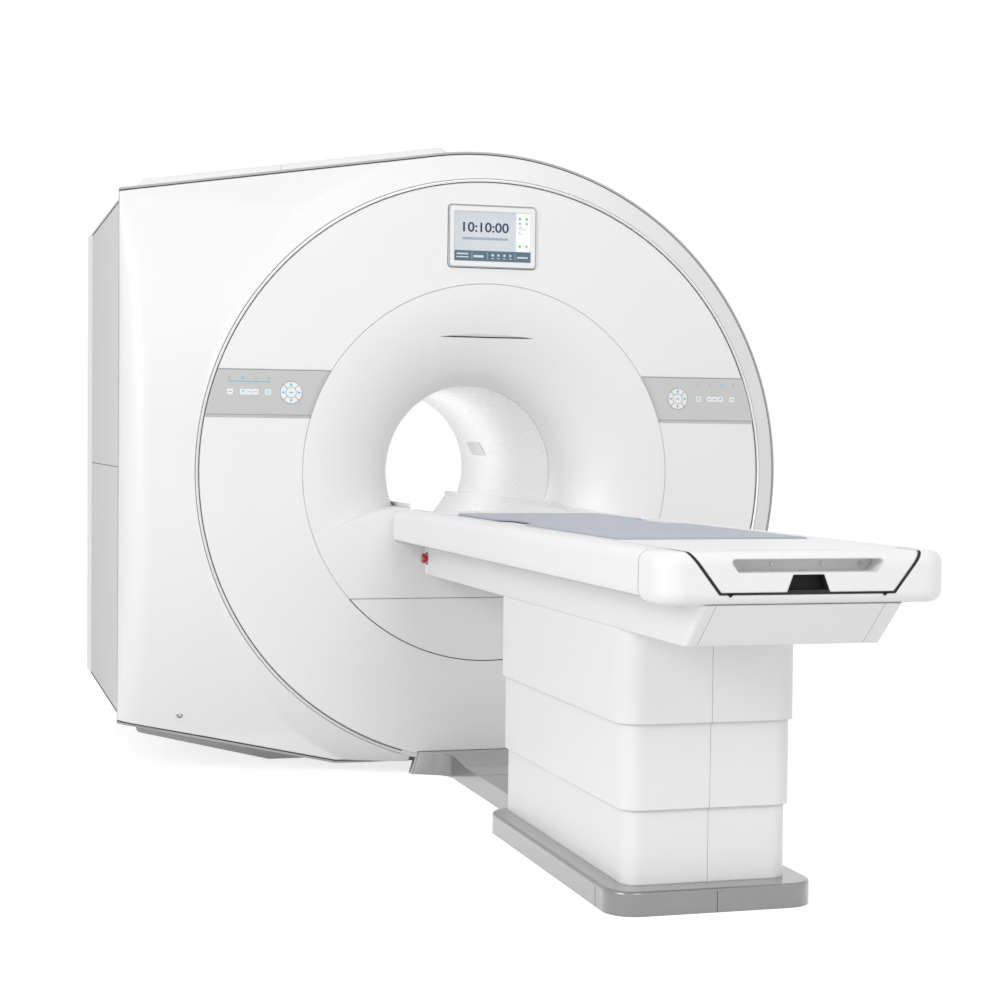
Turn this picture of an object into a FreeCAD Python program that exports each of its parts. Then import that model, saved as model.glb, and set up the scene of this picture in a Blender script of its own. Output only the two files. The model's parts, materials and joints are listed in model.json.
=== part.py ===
"""A magnetic resonance scanner: a round-fronted magnet housing with a wide patient bore, and a
docked patient table whose top rides up and down on a three-stage column and slides into the bore.

All sizes are in millimetres. X runs to the right seen from the foot of the table, Y along the bore
away from the foot of the table, and Z up. The origin is on the floor below the middle of the bore.
"""
import FreeCAD
import Part
import math
import os

from FreeCAD import Vector

# Bore and levels
ISO_HEIGHT = 1013.0
BORE_RADIUS = 300.0
BORE_HALF_LENGTH = 590.0
LINER_WALL = 6.0
FUNNEL_DEPTH = 280.0
FUNNEL_INNER_ROUND = 236.0
REAR_FLARE = 190.0
FRONT_Y = -(BORE_HALF_LENGTH + FUNNEL_DEPTH)
REAR_Y = BORE_HALF_LENGTH + REAR_FLARE

# Clearances
SEAM = 0.8
SEAT = 0.3
COVER_WALL = 6.0

# Round front: funnel, disc and accent ring, as radii about the bore axis
FUNNEL_RADIUS = 636.0
FUNNEL_BACK_RADIUS = 560.0
DISC_RADIUS = 975.5
RING_WIDTH = 12.0
RING_DEPTH = 22.0
RING_PROUD = 1.0
RING_GROOVE = 3.0
DISC_THICKNESS = 8.0

# Docking shoulders moulded into the funnel on both sides of the bore, as drops below its axis
SHELF_HALF_WIDTH = 320.0
SHELF_DROP = 119.0
SHOULDER_HALF_WIDTH = 379.0
SHOULDER_DROP = 128.0
SHOULDER_SLOPE = 20.0
LOWER_COVER_DROP = 422.0
EYEBROW_HEIGHT = 457.0
EYEBROW_HALF_WIDTH = 168.0
EYEBROW_GAP = 10.0

# Housing outline
FLANK_WIDTH = 93.5
WING_ROUND = 92.0
WING_FLAT = 150.0
WING_END = 850.0
WING_STEPS = 5
WING_SET = 1.0
RIM_DEPTH = 8.0
SHELL_DEPTH = 113.0
SIDE_REACH = 1225.0
TOP_SLOPE = 8.75
CORNER_DROP = 818.0
FOOT_SLOPE = 12.1
GROUND_GAP = 39.0
TRIM_THICKNESS = 12.0
TRIM_PROUD = 12.0
BODY_INSET = 9.0
BODY_END = 500.0
REAR_ROUND = 60.0

# Side panels and top covers
SIDE_SEAM_HEIGHT = 9.0
SIDE_PANEL_TOP = 890.0
SIDE_PANEL_DROP = 808.0
SIDE_PANEL_DEPTH = 26.0
TOP_COVER_HEIGHT = 50.0
TOP_COVER_FRONT = 285.0
TOP_COVER_INSET = 78.0
TOP_COVER_SEAM = 664.0
TOP_COVER_RIGHT = 82.0
TOP_COVER_ROUND = 30.0

# Plinth
PLINTH_FRONT = 460.0
PLINTH_HALF_WIDTH = 675.0
PLINTH_SET_BACK = 90.0
PLINTH_SLOPE = 13.5
PLINTH_WALL = 8.0
PLINTH_ROUND = 20.0
PLINTH_END_HEIGHT = 150.0

# Magnet and coils
VESSEL_FLOOR_GAP = 63.0
VESSEL_FRONT_GAP = 132.6
VESSEL_BORE = 455.0
VESSEL_HALF_LENGTH = 690.0
VESSEL_WALL = 12.0
VESSEL_FOOT_X = 430.0
VESSEL_FOOT_WIDTH = 180.0
VESSEL_FOOT_Y = 260.0
VESSEL_FOOT_LENGTH = 200.0
COIL_FORMER_RADIUS = 540.0
COIL_FORMER_WALL = 20.0
COIL_DEPTH = 70.0
COIL_WIDTHS = (150.0, 90.0, 60.0)
COIL_CENTRES = (545.0, 290.0, 90.0)
GRADIENT_WALL = 104.0
GRADIENT_HALF_LENGTH = 650.0
GRADIENT_COLLAR = 60.0
GRADIENT_RELIEF = 10.0
BODY_COIL_WALL = 8.0
BODY_COIL_HALF_LENGTH = 430.0
BODY_COIL_COLLAR = 30.0
BODY_COIL_RUNGS = 16
COLD_HEAD_X = -430.0
COLD_HEAD_Y = 120.0
COLD_HEAD_RADIUS = 62.0
TURRET_RADIUS = 80.0
TURRET_HEIGHT = 60.0
MOTOR_LOW = 90.0
MOTOR_HIGH = 140.0

# Bore rail: the trough under the tabletop, and the plate on the right wall
RAIL_DROP = 104.0
RAIL_WALL = 12.0
RAIL_HALF_WIDTH = 270.5
RAIL_FLOOR_HALF_WIDTH = 203.0
RAIL_DEPTH = 112.0
PLATE_Y = 350.0
PLATE_LENGTH = 235.0
PLATE_LOW = 51.0
PLATE_HIGH = 101.0
PLATE_CUT = 45.0
PLATE_PROUD = 3.0

# Display
DISPLAY_X = 4.0
DISPLAY_HEIGHT = 794.0
DISPLAY_WIDTH = 305.0
DISPLAY_TALL = 208.0
DISPLAY_PROUD = 9.0
DISPLAY_DEPTH = 45.0
DISPLAY_ROUND = 12.0
DISPLAY_FLANGE = 10.0
SCREEN_WIDTH = 266.0
SCREEN_TALL = 165.0
SCREEN_THICKNESS = 3.0

# Control panels and their keys
PANEL_HIGH = 334.0
PANEL_LOW = 177.0
PANEL_BEVEL = 12.0
PANEL_PROUD = 4.0
PANEL_SINK = 5.0
PANEL_FLOOR = 2.8
KEY_SIDE = 20.0
KEY_GAP = 0.4
KEY_PROUD = 1.6
KEY_TRAVEL = 1.5
KEY_ROUND = 2.5
SQUARE_KEY_OUTER = 878.0
STRIP_KEY_CENTRE = 815.0
SQUARE_KEY_INNER = 754.0
KEY_HEIGHT = 260.0
PAD_X = 677.0
PAD_RADIUS = 37.0
PAD_KEY_RADIUS = 18.0
PAD_GROOVE = 2.0

# Table, along the bore from the front of the housing
TABLE_FOOT = 2535.0
TABLE_GAP = 24.0
TABLE_HALF_WIDTH = 340.0
TABLE_DROP = 123.0
TABLE_THICKNESS = 114.0
TABLE_ROUND = 28.0
TABLE_CORNER = 60.0
FOOT_CAP_LENGTH = 130.0
FASCIA_WALL = 5.0
FASCIA_RIB = 6.0
RUNNER_X = 130.0
RUNNER_WIDTH = 30.0
RUNNER_END_GAP = 25.0
BELT_WIDTH = 40.0
BELT_THICKNESS = 2.5
PULLEY_RIM = 3.0
TOP_HALF_WIDTH = 267.0
TOP_FLOOR_HALF_WIDTH = 200.0
TOP_THICKNESS = 87.0
TOP_GAP = 4.0
CAP_GAP = 9.0
TOP_FLOOR_GAP = 4.0
TOP_HEAD_GAP = 30.0
HANDLE_HALF_WIDTH = 182.0
HANDLE_TAPER = 20.0
HANDLE_DROP = 16.0
HANDLE_TALL = 28.0
HANDLE_DEPTH = 60.0
NOTCH_FLOOR = 49.0
NOTCH_HEAD = 36.0
NOTCH_RISE = 4.0
NOTCH_TALL = 34.0
NOTCH_DEPTH = 30.0

# Tray under the table
TRAY_HALF_WIDTH = 235.0
TRAY_DEPTH = 98.0
TRAY_FOOT = 2520.0
TRAY_SLANT = 110.0
TRAY_GAP = 54.0
TRAY_CAP = 86.0
TRAY_WALL = 6.0
TRAY_CORNER = 12.0
STOP_INSET = 46.0
STOP_DROP = 45.0
STOP_RADIUS = 16.0
STOP_COLLAR = 21.0
STOP_RIM = 3.0
STOP_PROUD = 12.0
STOP_TRAVEL = 5.0
STOP_STEM = 24.0
STOP_STEM_RADIUS = 8.0

# Lift column and its telescoping shrouds
SHROUD_FRONT = 2005.0
SHROUD_BACK = 938.0
SHROUD_HALF_WIDTH = 231.0
SHROUD_STEP = 9.5
SHROUD_ROUND = 60.0
SHROUD_WALL = 4.0
UPPER_SHROUD_BOTTOM = 448.0
MIDDLE_SHROUD_BOTTOM = 240.0
SHROUD_LAP = 30.0
COLUMN_LENGTH = 290.0
COLUMN_WIDTH = 180.0
COLUMN_WALL = 12.0
COLUMN_FIT = 0.4
CARRIER_PLATE = 8.0

# Base, bridge and docking frame on the floor
BASE_HALF_WIDTH = 265.0
BASE_FRONT = 2052.0
BASE_BACK = 950.0
BASE_HEIGHT = 59.0
BASE_ROUND = 75.0
BASE_EDGE = 8.0
BASE_WALL = 8.0
BASE_PLATE = 10.0
ANCHOR_HOLE = 18.0
BRIDGE_HALF_WIDTH = 145.0
BRIDGE_TAPER = 6.0
BRIDGE_FLARE = 259.0
BRIDGE_FLARE_TAPER = 22.0
FLARE_TURN = 55.0
FLARE_LENGTH = 130.0
DOCK_HALF_WIDTH = 263.0
DOCK_TAPER = 24.0
DOCK_HEIGHT = 74.0
DOCK_LENGTH = 30.0
DOCK_SLIT = 4.0

# Mats
MAT_THICKNESS = 9.0
MAT_HALF_WIDTH = 250.0
MAT_HEAD_HALF_WIDTH = 236.0
MAT_WAIST = 190.0
MAT_BED = 5.0
MAT_CORNER = 20.0
MAT_CROWN = 2.0
WAIST_HEAD = 930.0
WAIST_FOOT = 1180.0
BODY_MAT_HEAD = 458.0
BODY_MAT_FOOT = 1620.0
FOOT_MAT_FOOT = 2012.0

ALONG_X = Vector(1, 0, 0)
ALONG_Y = Vector(0, 1, 0)
ALONG_Z = Vector(0, 0, 1)

# Sizes that follow from the ones above
MOUTH_RADIUS = FUNNEL_RADIUS + SEAM
RING_INNER = DISC_RADIUS + SEAM
RING_OUTER = RING_INNER + RING_WIDTH
SHELL_HOLE = RING_OUTER + SEAM
SHELL_RADIUS = SHELL_HOLE + FLANK_WIDTH
SHELL_BACK = FRONT_Y + SHELL_DEPTH
VESSEL_RADIUS = min(ISO_HEIGHT - VESSEL_FLOOR_GAP, SHELL_RADIUS - VESSEL_FRONT_GAP)
TRIM_BACK = SHELL_BACK + TRIM_THICKNESS
FOOT_DROP = ISO_HEIGHT - GROUND_GAP
TOP_COVER_LEFT = SIDE_REACH - TOP_COVER_INSET
PLINTH_REACH = SIDE_REACH - PLINTH_SET_BACK
LINER_OUTER = BORE_RADIUS + LINER_WALL
KEY_LENGTH = KEY_PROUD + PANEL_PROUD + PANEL_SINK - PANEL_FLOOR - KEY_TRAVEL - SEAT
TABLE_FOOT_Y = FRONT_Y - TABLE_FOOT
TABLE_HEAD_Y = FRONT_Y - TABLE_GAP
TABLE_TOP = ISO_HEIGHT - TABLE_DROP
TABLE_BOTTOM = TABLE_TOP - TABLE_THICKNESS
TOP_HEAD_Y = FRONT_Y - TOP_HEAD_GAP
TOP_UNDERSIDE = TABLE_TOP - TOP_THICKNESS
TRAY_BOTTOM = TABLE_BOTTOM - TRAY_DEPTH
STOP_Y = FRONT_Y - TRAY_GAP - STOP_INSET
STOP_Z = TABLE_BOTTOM - STOP_DROP
COLUMN_Y = FRONT_Y - (SHROUD_FRONT + SHROUD_BACK) / 2
MIDDLE_COLUMN_TOP = (BASE_PLATE + TRAY_BOTTOM + COLUMN_LENGTH) / 2


def block(x0, x1, y0, y1, z0, z1):
    """Box between two corners."""
    return Part.makeBox(x1 - x0, y1 - y0, z1 - z0, Vector(x0, y0, z0))


def rod(radius, y0, y1, x=0.0, z=ISO_HEIGHT):
    """Round bar along the bore, on its axis unless a place is given."""
    return Part.makeCylinder(radius, y1 - y0, Vector(x, y0, z), ALONG_Y)


def tube(outer, inner, y0, y1, x=0.0, z=ISO_HEIGHT):
    """Round tube along the bore."""
    return rod(outer, y0, y1, x, z).cut(rod(inner, y0, y1, x, z))


def outline_face(corners):
    """Flat face inside a closed run of corners."""
    return Part.Face(Part.makePolygon(corners + corners[:1]))


def prism_y(points, y0, y1):
    """Outline of (x, z) points carried along the bore."""
    return outline_face([Vector(x, y0, z) for x, z in points]).extrude(Vector(0, y1 - y0, 0))


def prism_x(points, x0, x1):
    """Outline of (y, z) points carried across."""
    return outline_face([Vector(x0, y, z) for y, z in points]).extrude(Vector(x1 - x0, 0, 0))


def prism_z(points, z0, z1):
    """Outline of (x, y) points carried upwards."""
    return outline_face([Vector(x, y, z0) for x, y in points]).extrude(Vector(0, 0, z1 - z0))


def mirrored(shape):
    """The same piece for the other side of the bore."""
    return shape.mirror(Vector(0, 0, 0), ALONG_X)


def edges_along(shape, direction):
    """Straight edges that run in one direction."""
    picked = []
    for edge in shape.Edges:
        if len(edge.Vertexes) == 2 and edge.Curve.TypeId == "Part::GeomLine":
            span = edge.Vertexes[1].Point - edge.Vertexes[0].Point
            if abs(span.normalize().dot(direction)) > 0.999:
                picked.append(edge)
    return picked


def edges_in_plane(shape, axis, level):
    """Edges whose ends and middle all lie in the plane x, y or z = level."""
    picked = []
    for edge in shape.Edges:
        middle = edge.valueAt(0.5 * (edge.FirstParameter + edge.LastParameter))
        spots = [vertex.Point for vertex in edge.Vertexes] + [middle]
        if all(abs(getattr(spot, axis) - level) < 1e-4 for spot in spots):
            picked.append(edge)
    return picked


def pillar(half_width, y0, y1, z0, z1, corner):
    """Upright block centred on the bore axis, with its four upright edges rounded."""
    solid = block(-half_width, half_width, y0, y1, z0, z1)
    return solid.makeFillet(corner, edges_along(solid, ALONG_Z))


def turned(points):
    """Ring turned about the bore axis from an outline of (radius, y) points."""
    corners = [Vector(radius, y, ISO_HEIGHT) for radius, y in points]
    return outline_face(corners).revolve(Vector(0, 0, ISO_HEIGHT), ALONG_Y, 360)


def dock_notch(gap):
    """Trapezoid above the floor that the docking frame fills, grown by a gap."""
    foot = DOCK_HALF_WIDTH + gap
    head = DOCK_HALF_WIDTH - DOCK_TAPER + gap
    top = DOCK_HEIGHT + gap
    return prism_y([(-foot, 0), (foot, 0), (head, top), (-head, top)], FRONT_Y - 1, SHELL_BACK)


# ---------------------------------------------------------------- housing outline

def round_and_wing(inset, y0, y1):
    """Round housing with a wing on the left: the wing's top falls in a straight line from the round."""
    radius = SHELL_RADIUS - inset
    left = inset - SIDE_REACH
    slope = math.radians(TOP_SLOPE)
    start = -math.pi / 2
    middle = (start + math.pi / 2 + slope) / 2

    def spot(x, z):
        return Vector(x, y0, ISO_HEIGHT + z)

    tangent_x = -radius * math.sin(slope)
    tangent_z = radius * math.cos(slope)
    wing_top = tangent_z - (tangent_x - left) * math.tan(slope)
    arc = Part.Arc(
        spot(0, -radius),
        spot(radius * math.cos(middle), radius * math.sin(middle)),
        spot(tangent_x, tangent_z),
    )
    corners = [spot(tangent_x, tangent_z), spot(left, wing_top), spot(left, -radius), spot(0, -radius)]
    sides = [Part.makeLine(a, b) for a, b in zip(corners, corners[1:])]
    return Part.Face(Part.Wire([arc.toShape()] + sides)).extrude(Vector(0, y1 - y0, 0))


def above_foot_line(inset, y0, y1):
    """Everything above the housing's underside: level in the middle, rising to the left."""
    slope = math.radians(FOOT_SLOPE)
    far = 2 * SHELL_RADIUS
    low = inset - FOOT_DROP
    rise = inset / math.cos(slope) - CORNER_DROP
    bend = (rise - low) / math.tan(slope) - SIDE_REACH
    wing_low = rise + (far - SIDE_REACH) * math.tan(slope)
    points = [(-far, wing_low), (bend, low), (far, low), (far, far), (-far, far)]
    return prism_y([(x, ISO_HEIGHT + z) for x, z in points], y0, y1)


def housing(inset, y0, y1):
    """Solid of the housing's outline, drawn in by an inset."""
    return round_and_wing(inset, y0, y1).common(above_foot_line(inset, y0, y1))


# ---------------------------------------------------------------- front covers

def wing_section(level, inset):
    """Plan of the wing at a height from the bore axis: a rounded outer edge, then straight to the bore.

    The wing stands furthest forward at mid height and falls back to its rim above and below.
    """
    past = max(abs(level) - WING_FLAT, 0) / (WING_END - WING_FLAT)
    bulge = SHELL_DEPTH - WING_SET - RIM_DEPTH
    depth = RIM_DEPTH + bulge * (1 - past ** 2) - inset
    left = inset - SIDE_REACH
    z = ISO_HEIGHT + level
    centre = Vector(left + WING_ROUND, SHELL_BACK, z)
    turns = (0, math.pi / 4, math.pi / 2)
    spots = [centre - Vector(math.cos(turn), math.sin(turn), 0) * WING_ROUND for turn in turns]
    bend = Part.Arc(*spots)
    flatten = FreeCAD.Matrix()
    flatten.A22 = depth / WING_ROUND
    flatten.A24 = SHELL_BACK * (1 - flatten.A22)
    front = SHELL_BACK - depth
    corners = [Vector(centre.x, front, z), Vector(0, front, z), Vector(0, SHELL_BACK, z),
               Vector(left, SHELL_BACK, z)]
    sides = [Part.makeLine(a, b) for a, b in zip(corners, corners[1:])]
    return Part.Wire([bend.toShape().transformGeometry(flatten)] + sides)


def wing_form(inset):
    """Bulging solid of the wing: upright in the middle, with a loft that falls back above and below."""
    middle = Part.Face(wing_section(-WING_FLAT, inset)).extrude(Vector(0, 0, 2 * WING_FLAT))
    ends = []
    for side in (-1, 1):
        reach = WING_END - WING_FLAT
        levels = [side * (WING_FLAT + reach * k / WING_STEPS) for k in range(WING_STEPS + 1)]
        ends.append(Part.makeLoft([wing_section(level, inset) for level in levels], True, False))
    return middle.fuse(ends)


def shell_form(inset):
    """Solid behind the front shell's face: bulging wing, sloping flank round the ring, and rim."""
    flank = turned([
        (0, FRONT_Y + inset), (SHELL_HOLE - inset / 2, FRONT_Y + inset),
        (SHELL_RADIUS - inset, SHELL_BACK - RIM_DEPTH + inset / 3), (SHELL_RADIUS - inset, SHELL_BACK),
        (0, SHELL_BACK),
    ])
    rim = block(-SIDE_REACH, 0, SHELL_BACK - RIM_DEPTH + inset, SHELL_BACK, 0, 2 * ISO_HEIGHT + SHELL_RADIUS)
    return flank.fuse([wing_form(inset), rim]).common(housing(inset, FRONT_Y, SHELL_BACK))


def front_shell():
    """Front cover outside the accent ring, one moulding with the wing and a flank that slopes to its rim."""
    shell = shell_form(0).cut(shell_form(COVER_WALL)).cut(rod(SHELL_HOLE, FRONT_Y - 1, SHELL_BACK))
    return shell.cut(dock_notch(SEAM))


def panel_band(low, high, inner, outer, y0, y1):
    """Part of the front ring between two levels and two radii, on the right of the bore."""
    slab = block(0, outer, y0, y1, ISO_HEIGHT + low, ISO_HEIGHT + high)
    return tube(outer, inner, y0, y1).common(slab)


def front_disc():
    """Flat ring cover between funnel and accent ring, recessed for both control panels."""
    back = FRONT_Y + DISC_THICKNESS
    disc = tube(DISC_RADIUS, MOUTH_RADIUS, FRONT_Y, back)
    recess = panel_band(PANEL_LOW - SEAT, PANEL_HIGH + SEAT, MOUTH_RADIUS - 1, DISC_RADIUS + 1,
                        FRONT_Y - 1, FRONT_Y + PANEL_SINK)
    window = display_block(0, SEAT, FRONT_Y - 1, back + 1, DISPLAY_FLANGE)
    return disc.cut(recess).cut(mirrored(recess)).cut(window).cut(dock_notch(SEAM))


def accent_ring():
    """Metal ring round the disc, with a fine groove along its face, open at the bottom."""
    front = FRONT_Y - RING_PROUD
    middle = 0.5 * (RING_INNER + RING_OUTER)
    half = 0.5 * RING_GROOVE
    points = [
        (RING_INNER, front), (middle - half, front), (middle, front + half), (middle + half, front),
        (RING_OUTER, front), (RING_OUTER, FRONT_Y + RING_DEPTH), (RING_INNER, FRONT_Y + RING_DEPTH),
    ]
    return turned(points).cut(dock_notch(SEAM))


def edge_trim():
    """Frame behind the front shell that stands proud of it all round, but is flush at the wing's end."""
    frame = housing(-TRIM_PROUD, SHELL_BACK, TRIM_BACK)
    reach = 2 * SHELL_RADIUS
    frame = frame.common(block(-SIDE_REACH, reach, SHELL_BACK - 1, TRIM_BACK + 1, 0, 2 * reach))
    inner = housing(4 * COVER_WALL, SHELL_BACK, TRIM_BACK)
    return frame.cut(inner).cut(dock_notch(SEAM))


# ---------------------------------------------------------------- funnel

def bell_region(inset):
    """Space of the funnel's bell, turned from two tangent arcs, seen from the bore's side.

    The outer arc leaves the front plane at the mouth, the inner arc runs into the bore wall.
    """
    width = MOUTH_RADIUS - BORE_RADIUS
    inner_round = FUNNEL_INNER_ROUND
    outer_round = ((width - inner_round) ** 2 + FUNNEL_DEPTH ** 2 - inner_round ** 2)
    outer_round /= 2 * (FUNNEL_DEPTH - inner_round)
    outer_centre = Vector(MOUTH_RADIUS, FRONT_Y + outer_round, ISO_HEIGHT)
    inner_centre = Vector(BORE_RADIUS + inner_round, FRONT_Y + FUNNEL_DEPTH, ISO_HEIGHT)
    towards = (inner_centre - outer_centre).normalize()

    def on_arc(centre, radius, angle):
        return centre + Vector(-math.cos(angle), -math.sin(angle), 0) * radius

    join_angle = math.atan2(-towards.y, -towards.x)
    outer_arc = Part.Arc(
        on_arc(outer_centre, outer_round - inset, math.pi / 2),
        on_arc(outer_centre, outer_round - inset, 0.5 * (math.pi / 2 + join_angle)),
        on_arc(outer_centre, outer_round - inset, join_angle),
    ).toShape()
    inner_arc = Part.Arc(
        on_arc(inner_centre, inner_round - inset, join_angle),
        on_arc(inner_centre, inner_round - inset, 0.5 * join_angle),
        on_arc(inner_centre, inner_round - inset, 0),
    ).toShape()
    mouth = outer_arc.Vertexes[0].Point
    throat = inner_arc.Vertexes[-1].Point
    ahead = FRONT_Y - 1
    corners = [throat, Vector(0, throat.y, ISO_HEIGHT), Vector(0, ahead, ISO_HEIGHT),
               Vector(mouth.x, ahead, ISO_HEIGHT), mouth]
    sides = [Part.makeLine(a, b) for a, b in zip(corners, corners[1:])]
    outline = Part.Wire([outer_arc, inner_arc] + sides)
    return Part.Face(outline).revolve(Vector(0, 0, ISO_HEIGHT), ALONG_Y, 360)


def above_shoulders(inset):
    """Everything above the docking shoulders: a level shelf, a short fall, then a steady slope."""
    far = SHELL_RADIUS
    fall = SHOULDER_DROP + (far - SHOULDER_HALF_WIDTH) * math.tan(math.radians(SHOULDER_SLOPE))
    half = [(SHELF_HALF_WIDTH, -SHELF_DROP), (SHOULDER_HALF_WIDTH, -SHOULDER_DROP), (far, -fall), (far, far)]
    points = half + [(-x, z) for x, z in reversed(half)]
    return prism_y([(x, ISO_HEIGHT + z - inset) for x, z in points], FRONT_Y - 2, 0)


def funnel_block(inset):
    """Solid behind the funnel's face, drawn in by an inset all over."""
    front = FRONT_Y + inset
    rim_back = FRONT_Y + 6 * COVER_WALL
    back = FRONT_Y + FUNNEL_DEPTH
    body = rod(FUNNEL_RADIUS - inset, front, rim_back).fuse(rod(FUNNEL_BACK_RADIUS - inset, rim_back, back))
    body = body.cut(bell_region(inset).common(above_shoulders(inset)))
    return body.cut(rod(BORE_RADIUS + inset, FRONT_Y - 1, back + 1))


def funnel_skin():
    """Moulded funnel: face, bell, shoulders and bore sleeve as one skin of even wall."""
    outer = funnel_block(0)
    hollow = funnel_block(COVER_WALL)
    behind = tube(FUNNEL_RADIUS - COVER_WALL, FUNNEL_BACK_RADIUS - 2 * COVER_WALL,
                  FRONT_Y + 6 * COVER_WALL - 1, FRONT_Y + FUNNEL_DEPTH)
    return outer.cut(hollow).cut(behind)


def eyebrow_slot():
    """Crescent slot over the bore that lets the air and light of the bore through."""
    height = ISO_HEIGHT + EYEBROW_HEIGHT
    y = FRONT_Y - 1
    ends = [Vector(-EYEBROW_HALF_WIDTH, y, height), Vector(EYEBROW_HALF_WIDTH, y, height)]
    arc = Part.Arc(ends[0], Vector(0, y, height + EYEBROW_GAP), ends[1]).toShape()
    outline = Part.Wire([arc, Part.makeLine(ends[1], ends[0])])
    return Part.Face(outline).extrude(Vector(0, FUNNEL_DEPTH, 0))


def funnel_covers():
    """Upper funnel with the bell, and the lower cover that lifts off below the seam."""
    skin = funnel_skin()
    seam = ISO_HEIGHT - LOWER_COVER_DROP
    reach = SHELL_RADIUS
    upper_space = block(-reach, reach, FRONT_Y - 1, 0, seam + SEAM / 2, ISO_HEIGHT + reach)
    lower_space = block(-reach, reach, FRONT_Y - 1, 0, 0, seam - SEAM / 2)
    return skin.common(upper_space).cut(eyebrow_slot()), skin.common(lower_space)


# ---------------------------------------------------------------- bodywork behind the front shell

def side_space(gap):
    """Space of the side panels at the end of the wing, grown by a gap."""
    return block(-SIDE_REACH - 1, SIDE_PANEL_DEPTH + gap - SIDE_REACH, TRIM_BACK, BODY_END,
                 ISO_HEIGHT - SIDE_PANEL_DROP - gap, ISO_HEIGHT + SIDE_PANEL_TOP + gap)


def body_cover():
    """Wrap-round cover over the magnet, open at the wing's end, with a slot for each of the magnet's feet."""
    outer = housing(BODY_INSET, TRIM_BACK, BODY_END)
    inner = housing(BODY_INSET + COVER_WALL, TRIM_BACK, BODY_END)
    cover = outer.cut(inner).cut(side_space(SEAM))
    for foot in vessel_feet(SEAM):
        cover = cover.cut(foot)
    return cover


def side_panel(low, high):
    """Flat lift-off panel with folded edges, between two levels of the wing's end."""
    left = BODY_INSET - SIDE_REACH
    right = left + SIDE_PANEL_DEPTH - BODY_INSET
    front = TRIM_BACK + SEAM
    back = BODY_END - SEAM
    wall = 0.5 * COVER_WALL
    pan = block(left, right, front, back, ISO_HEIGHT + low, ISO_HEIGHT + high)
    return pan.cut(block(left + wall, right, front + wall, back - wall,
                         ISO_HEIGHT + low + wall, ISO_HEIGHT + high - wall))


def top_cover(left, right, round_left, round_right):
    """Raised cover on the wing's sloping top, between two places across."""
    slope = math.radians(TOP_SLOPE)
    tangent_x = -SHELL_RADIUS * math.sin(slope)
    tangent_z = SHELL_RADIUS * math.cos(slope)

    def level(x, lift):
        return ISO_HEIGHT + tangent_z + (x - tangent_x) * math.tan(slope) + lift

    def form(inset):
        x0 = left + inset
        x1 = right - inset
        high = TOP_COVER_HEIGHT - inset
        points = [(x0, level(x0, -SHELL_RADIUS / 4)), (x1, level(x1, -SHELL_RADIUS / 4)),
                  (x1, level(x1, high)), (x0, level(x0, high))]
        solid = prism_y(points, FRONT_Y + TOP_COVER_FRONT + inset, BODY_END - inset)
        crown = [e for e in edges_along(solid, ALONG_Y) if e.Vertexes[0].Z > level(e.Vertexes[0].X, 0)]
        ends = [e for e in crown if (round_left and e.Vertexes[0].X < x0 + 1)
                or (round_right and e.Vertexes[0].X > x1 - 1)]
        return solid.makeFillet(TOP_COVER_ROUND - inset, ends)

    body = housing(BODY_INSET - SEAT, FRONT_Y, BODY_END + 1)
    return form(0).cut(form(COVER_WALL)).cut(body)


def rear_cover():
    """Back cover with a rounded edge and a flared mouth round the bore."""
    depth = REAR_Y - BODY_END

    def form(inset, end):
        solid = round_and_wing(BODY_INSET + inset, 0, depth - inset)
        back = edges_in_plane(solid, "y", depth - inset)
        solid = solid.makeFillet(REAR_ROUND - inset, back)
        solid = solid.common(above_foot_line(BODY_INSET + inset, -end, depth))
        solid.translate(Vector(0, BODY_END, 0))
        return solid

    mouth_centre = Vector(BORE_RADIUS + REAR_FLARE, BORE_HALF_LENGTH, ISO_HEIGHT)

    def flare(wall):
        radius = REAR_FLARE - wall
        start = mouth_centre + Vector(-radius, 0, 0)
        middle = mouth_centre + Vector(-radius, radius, 0) * math.sqrt(0.5)
        end = mouth_centre + Vector(0, radius, 0)
        arc = Part.Arc(start, middle, end).toShape()
        past = Vector(end.x, REAR_Y + 1, ISO_HEIGHT)
        corners = [end, past, Vector(0, past.y, ISO_HEIGHT), Vector(0, start.y, ISO_HEIGHT), start]
        sides = [Part.makeLine(a, b) for a, b in zip(corners, corners[1:])]
        return Part.Face(Part.Wire([arc] + sides)).revolve(Vector(0, 0, ISO_HEIGHT), ALONG_Y, 360)

    mouth_radius = BORE_RADIUS + REAR_FLARE
    shell = form(0, 0).cut(form(COVER_WALL, 1))
    funnel = rod(mouth_radius, BORE_HALF_LENGTH, REAR_Y).cut(flare(0))
    hollow = rod(mouth_radius, BORE_HALF_LENGTH, REAR_Y - COVER_WALL).cut(flare(COVER_WALL))
    cover = shell.cut(rod(mouth_radius, BODY_END - 1, REAR_Y + 1)).fuse(funnel.cut(hollow))
    return cover.removeSplitter()


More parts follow.
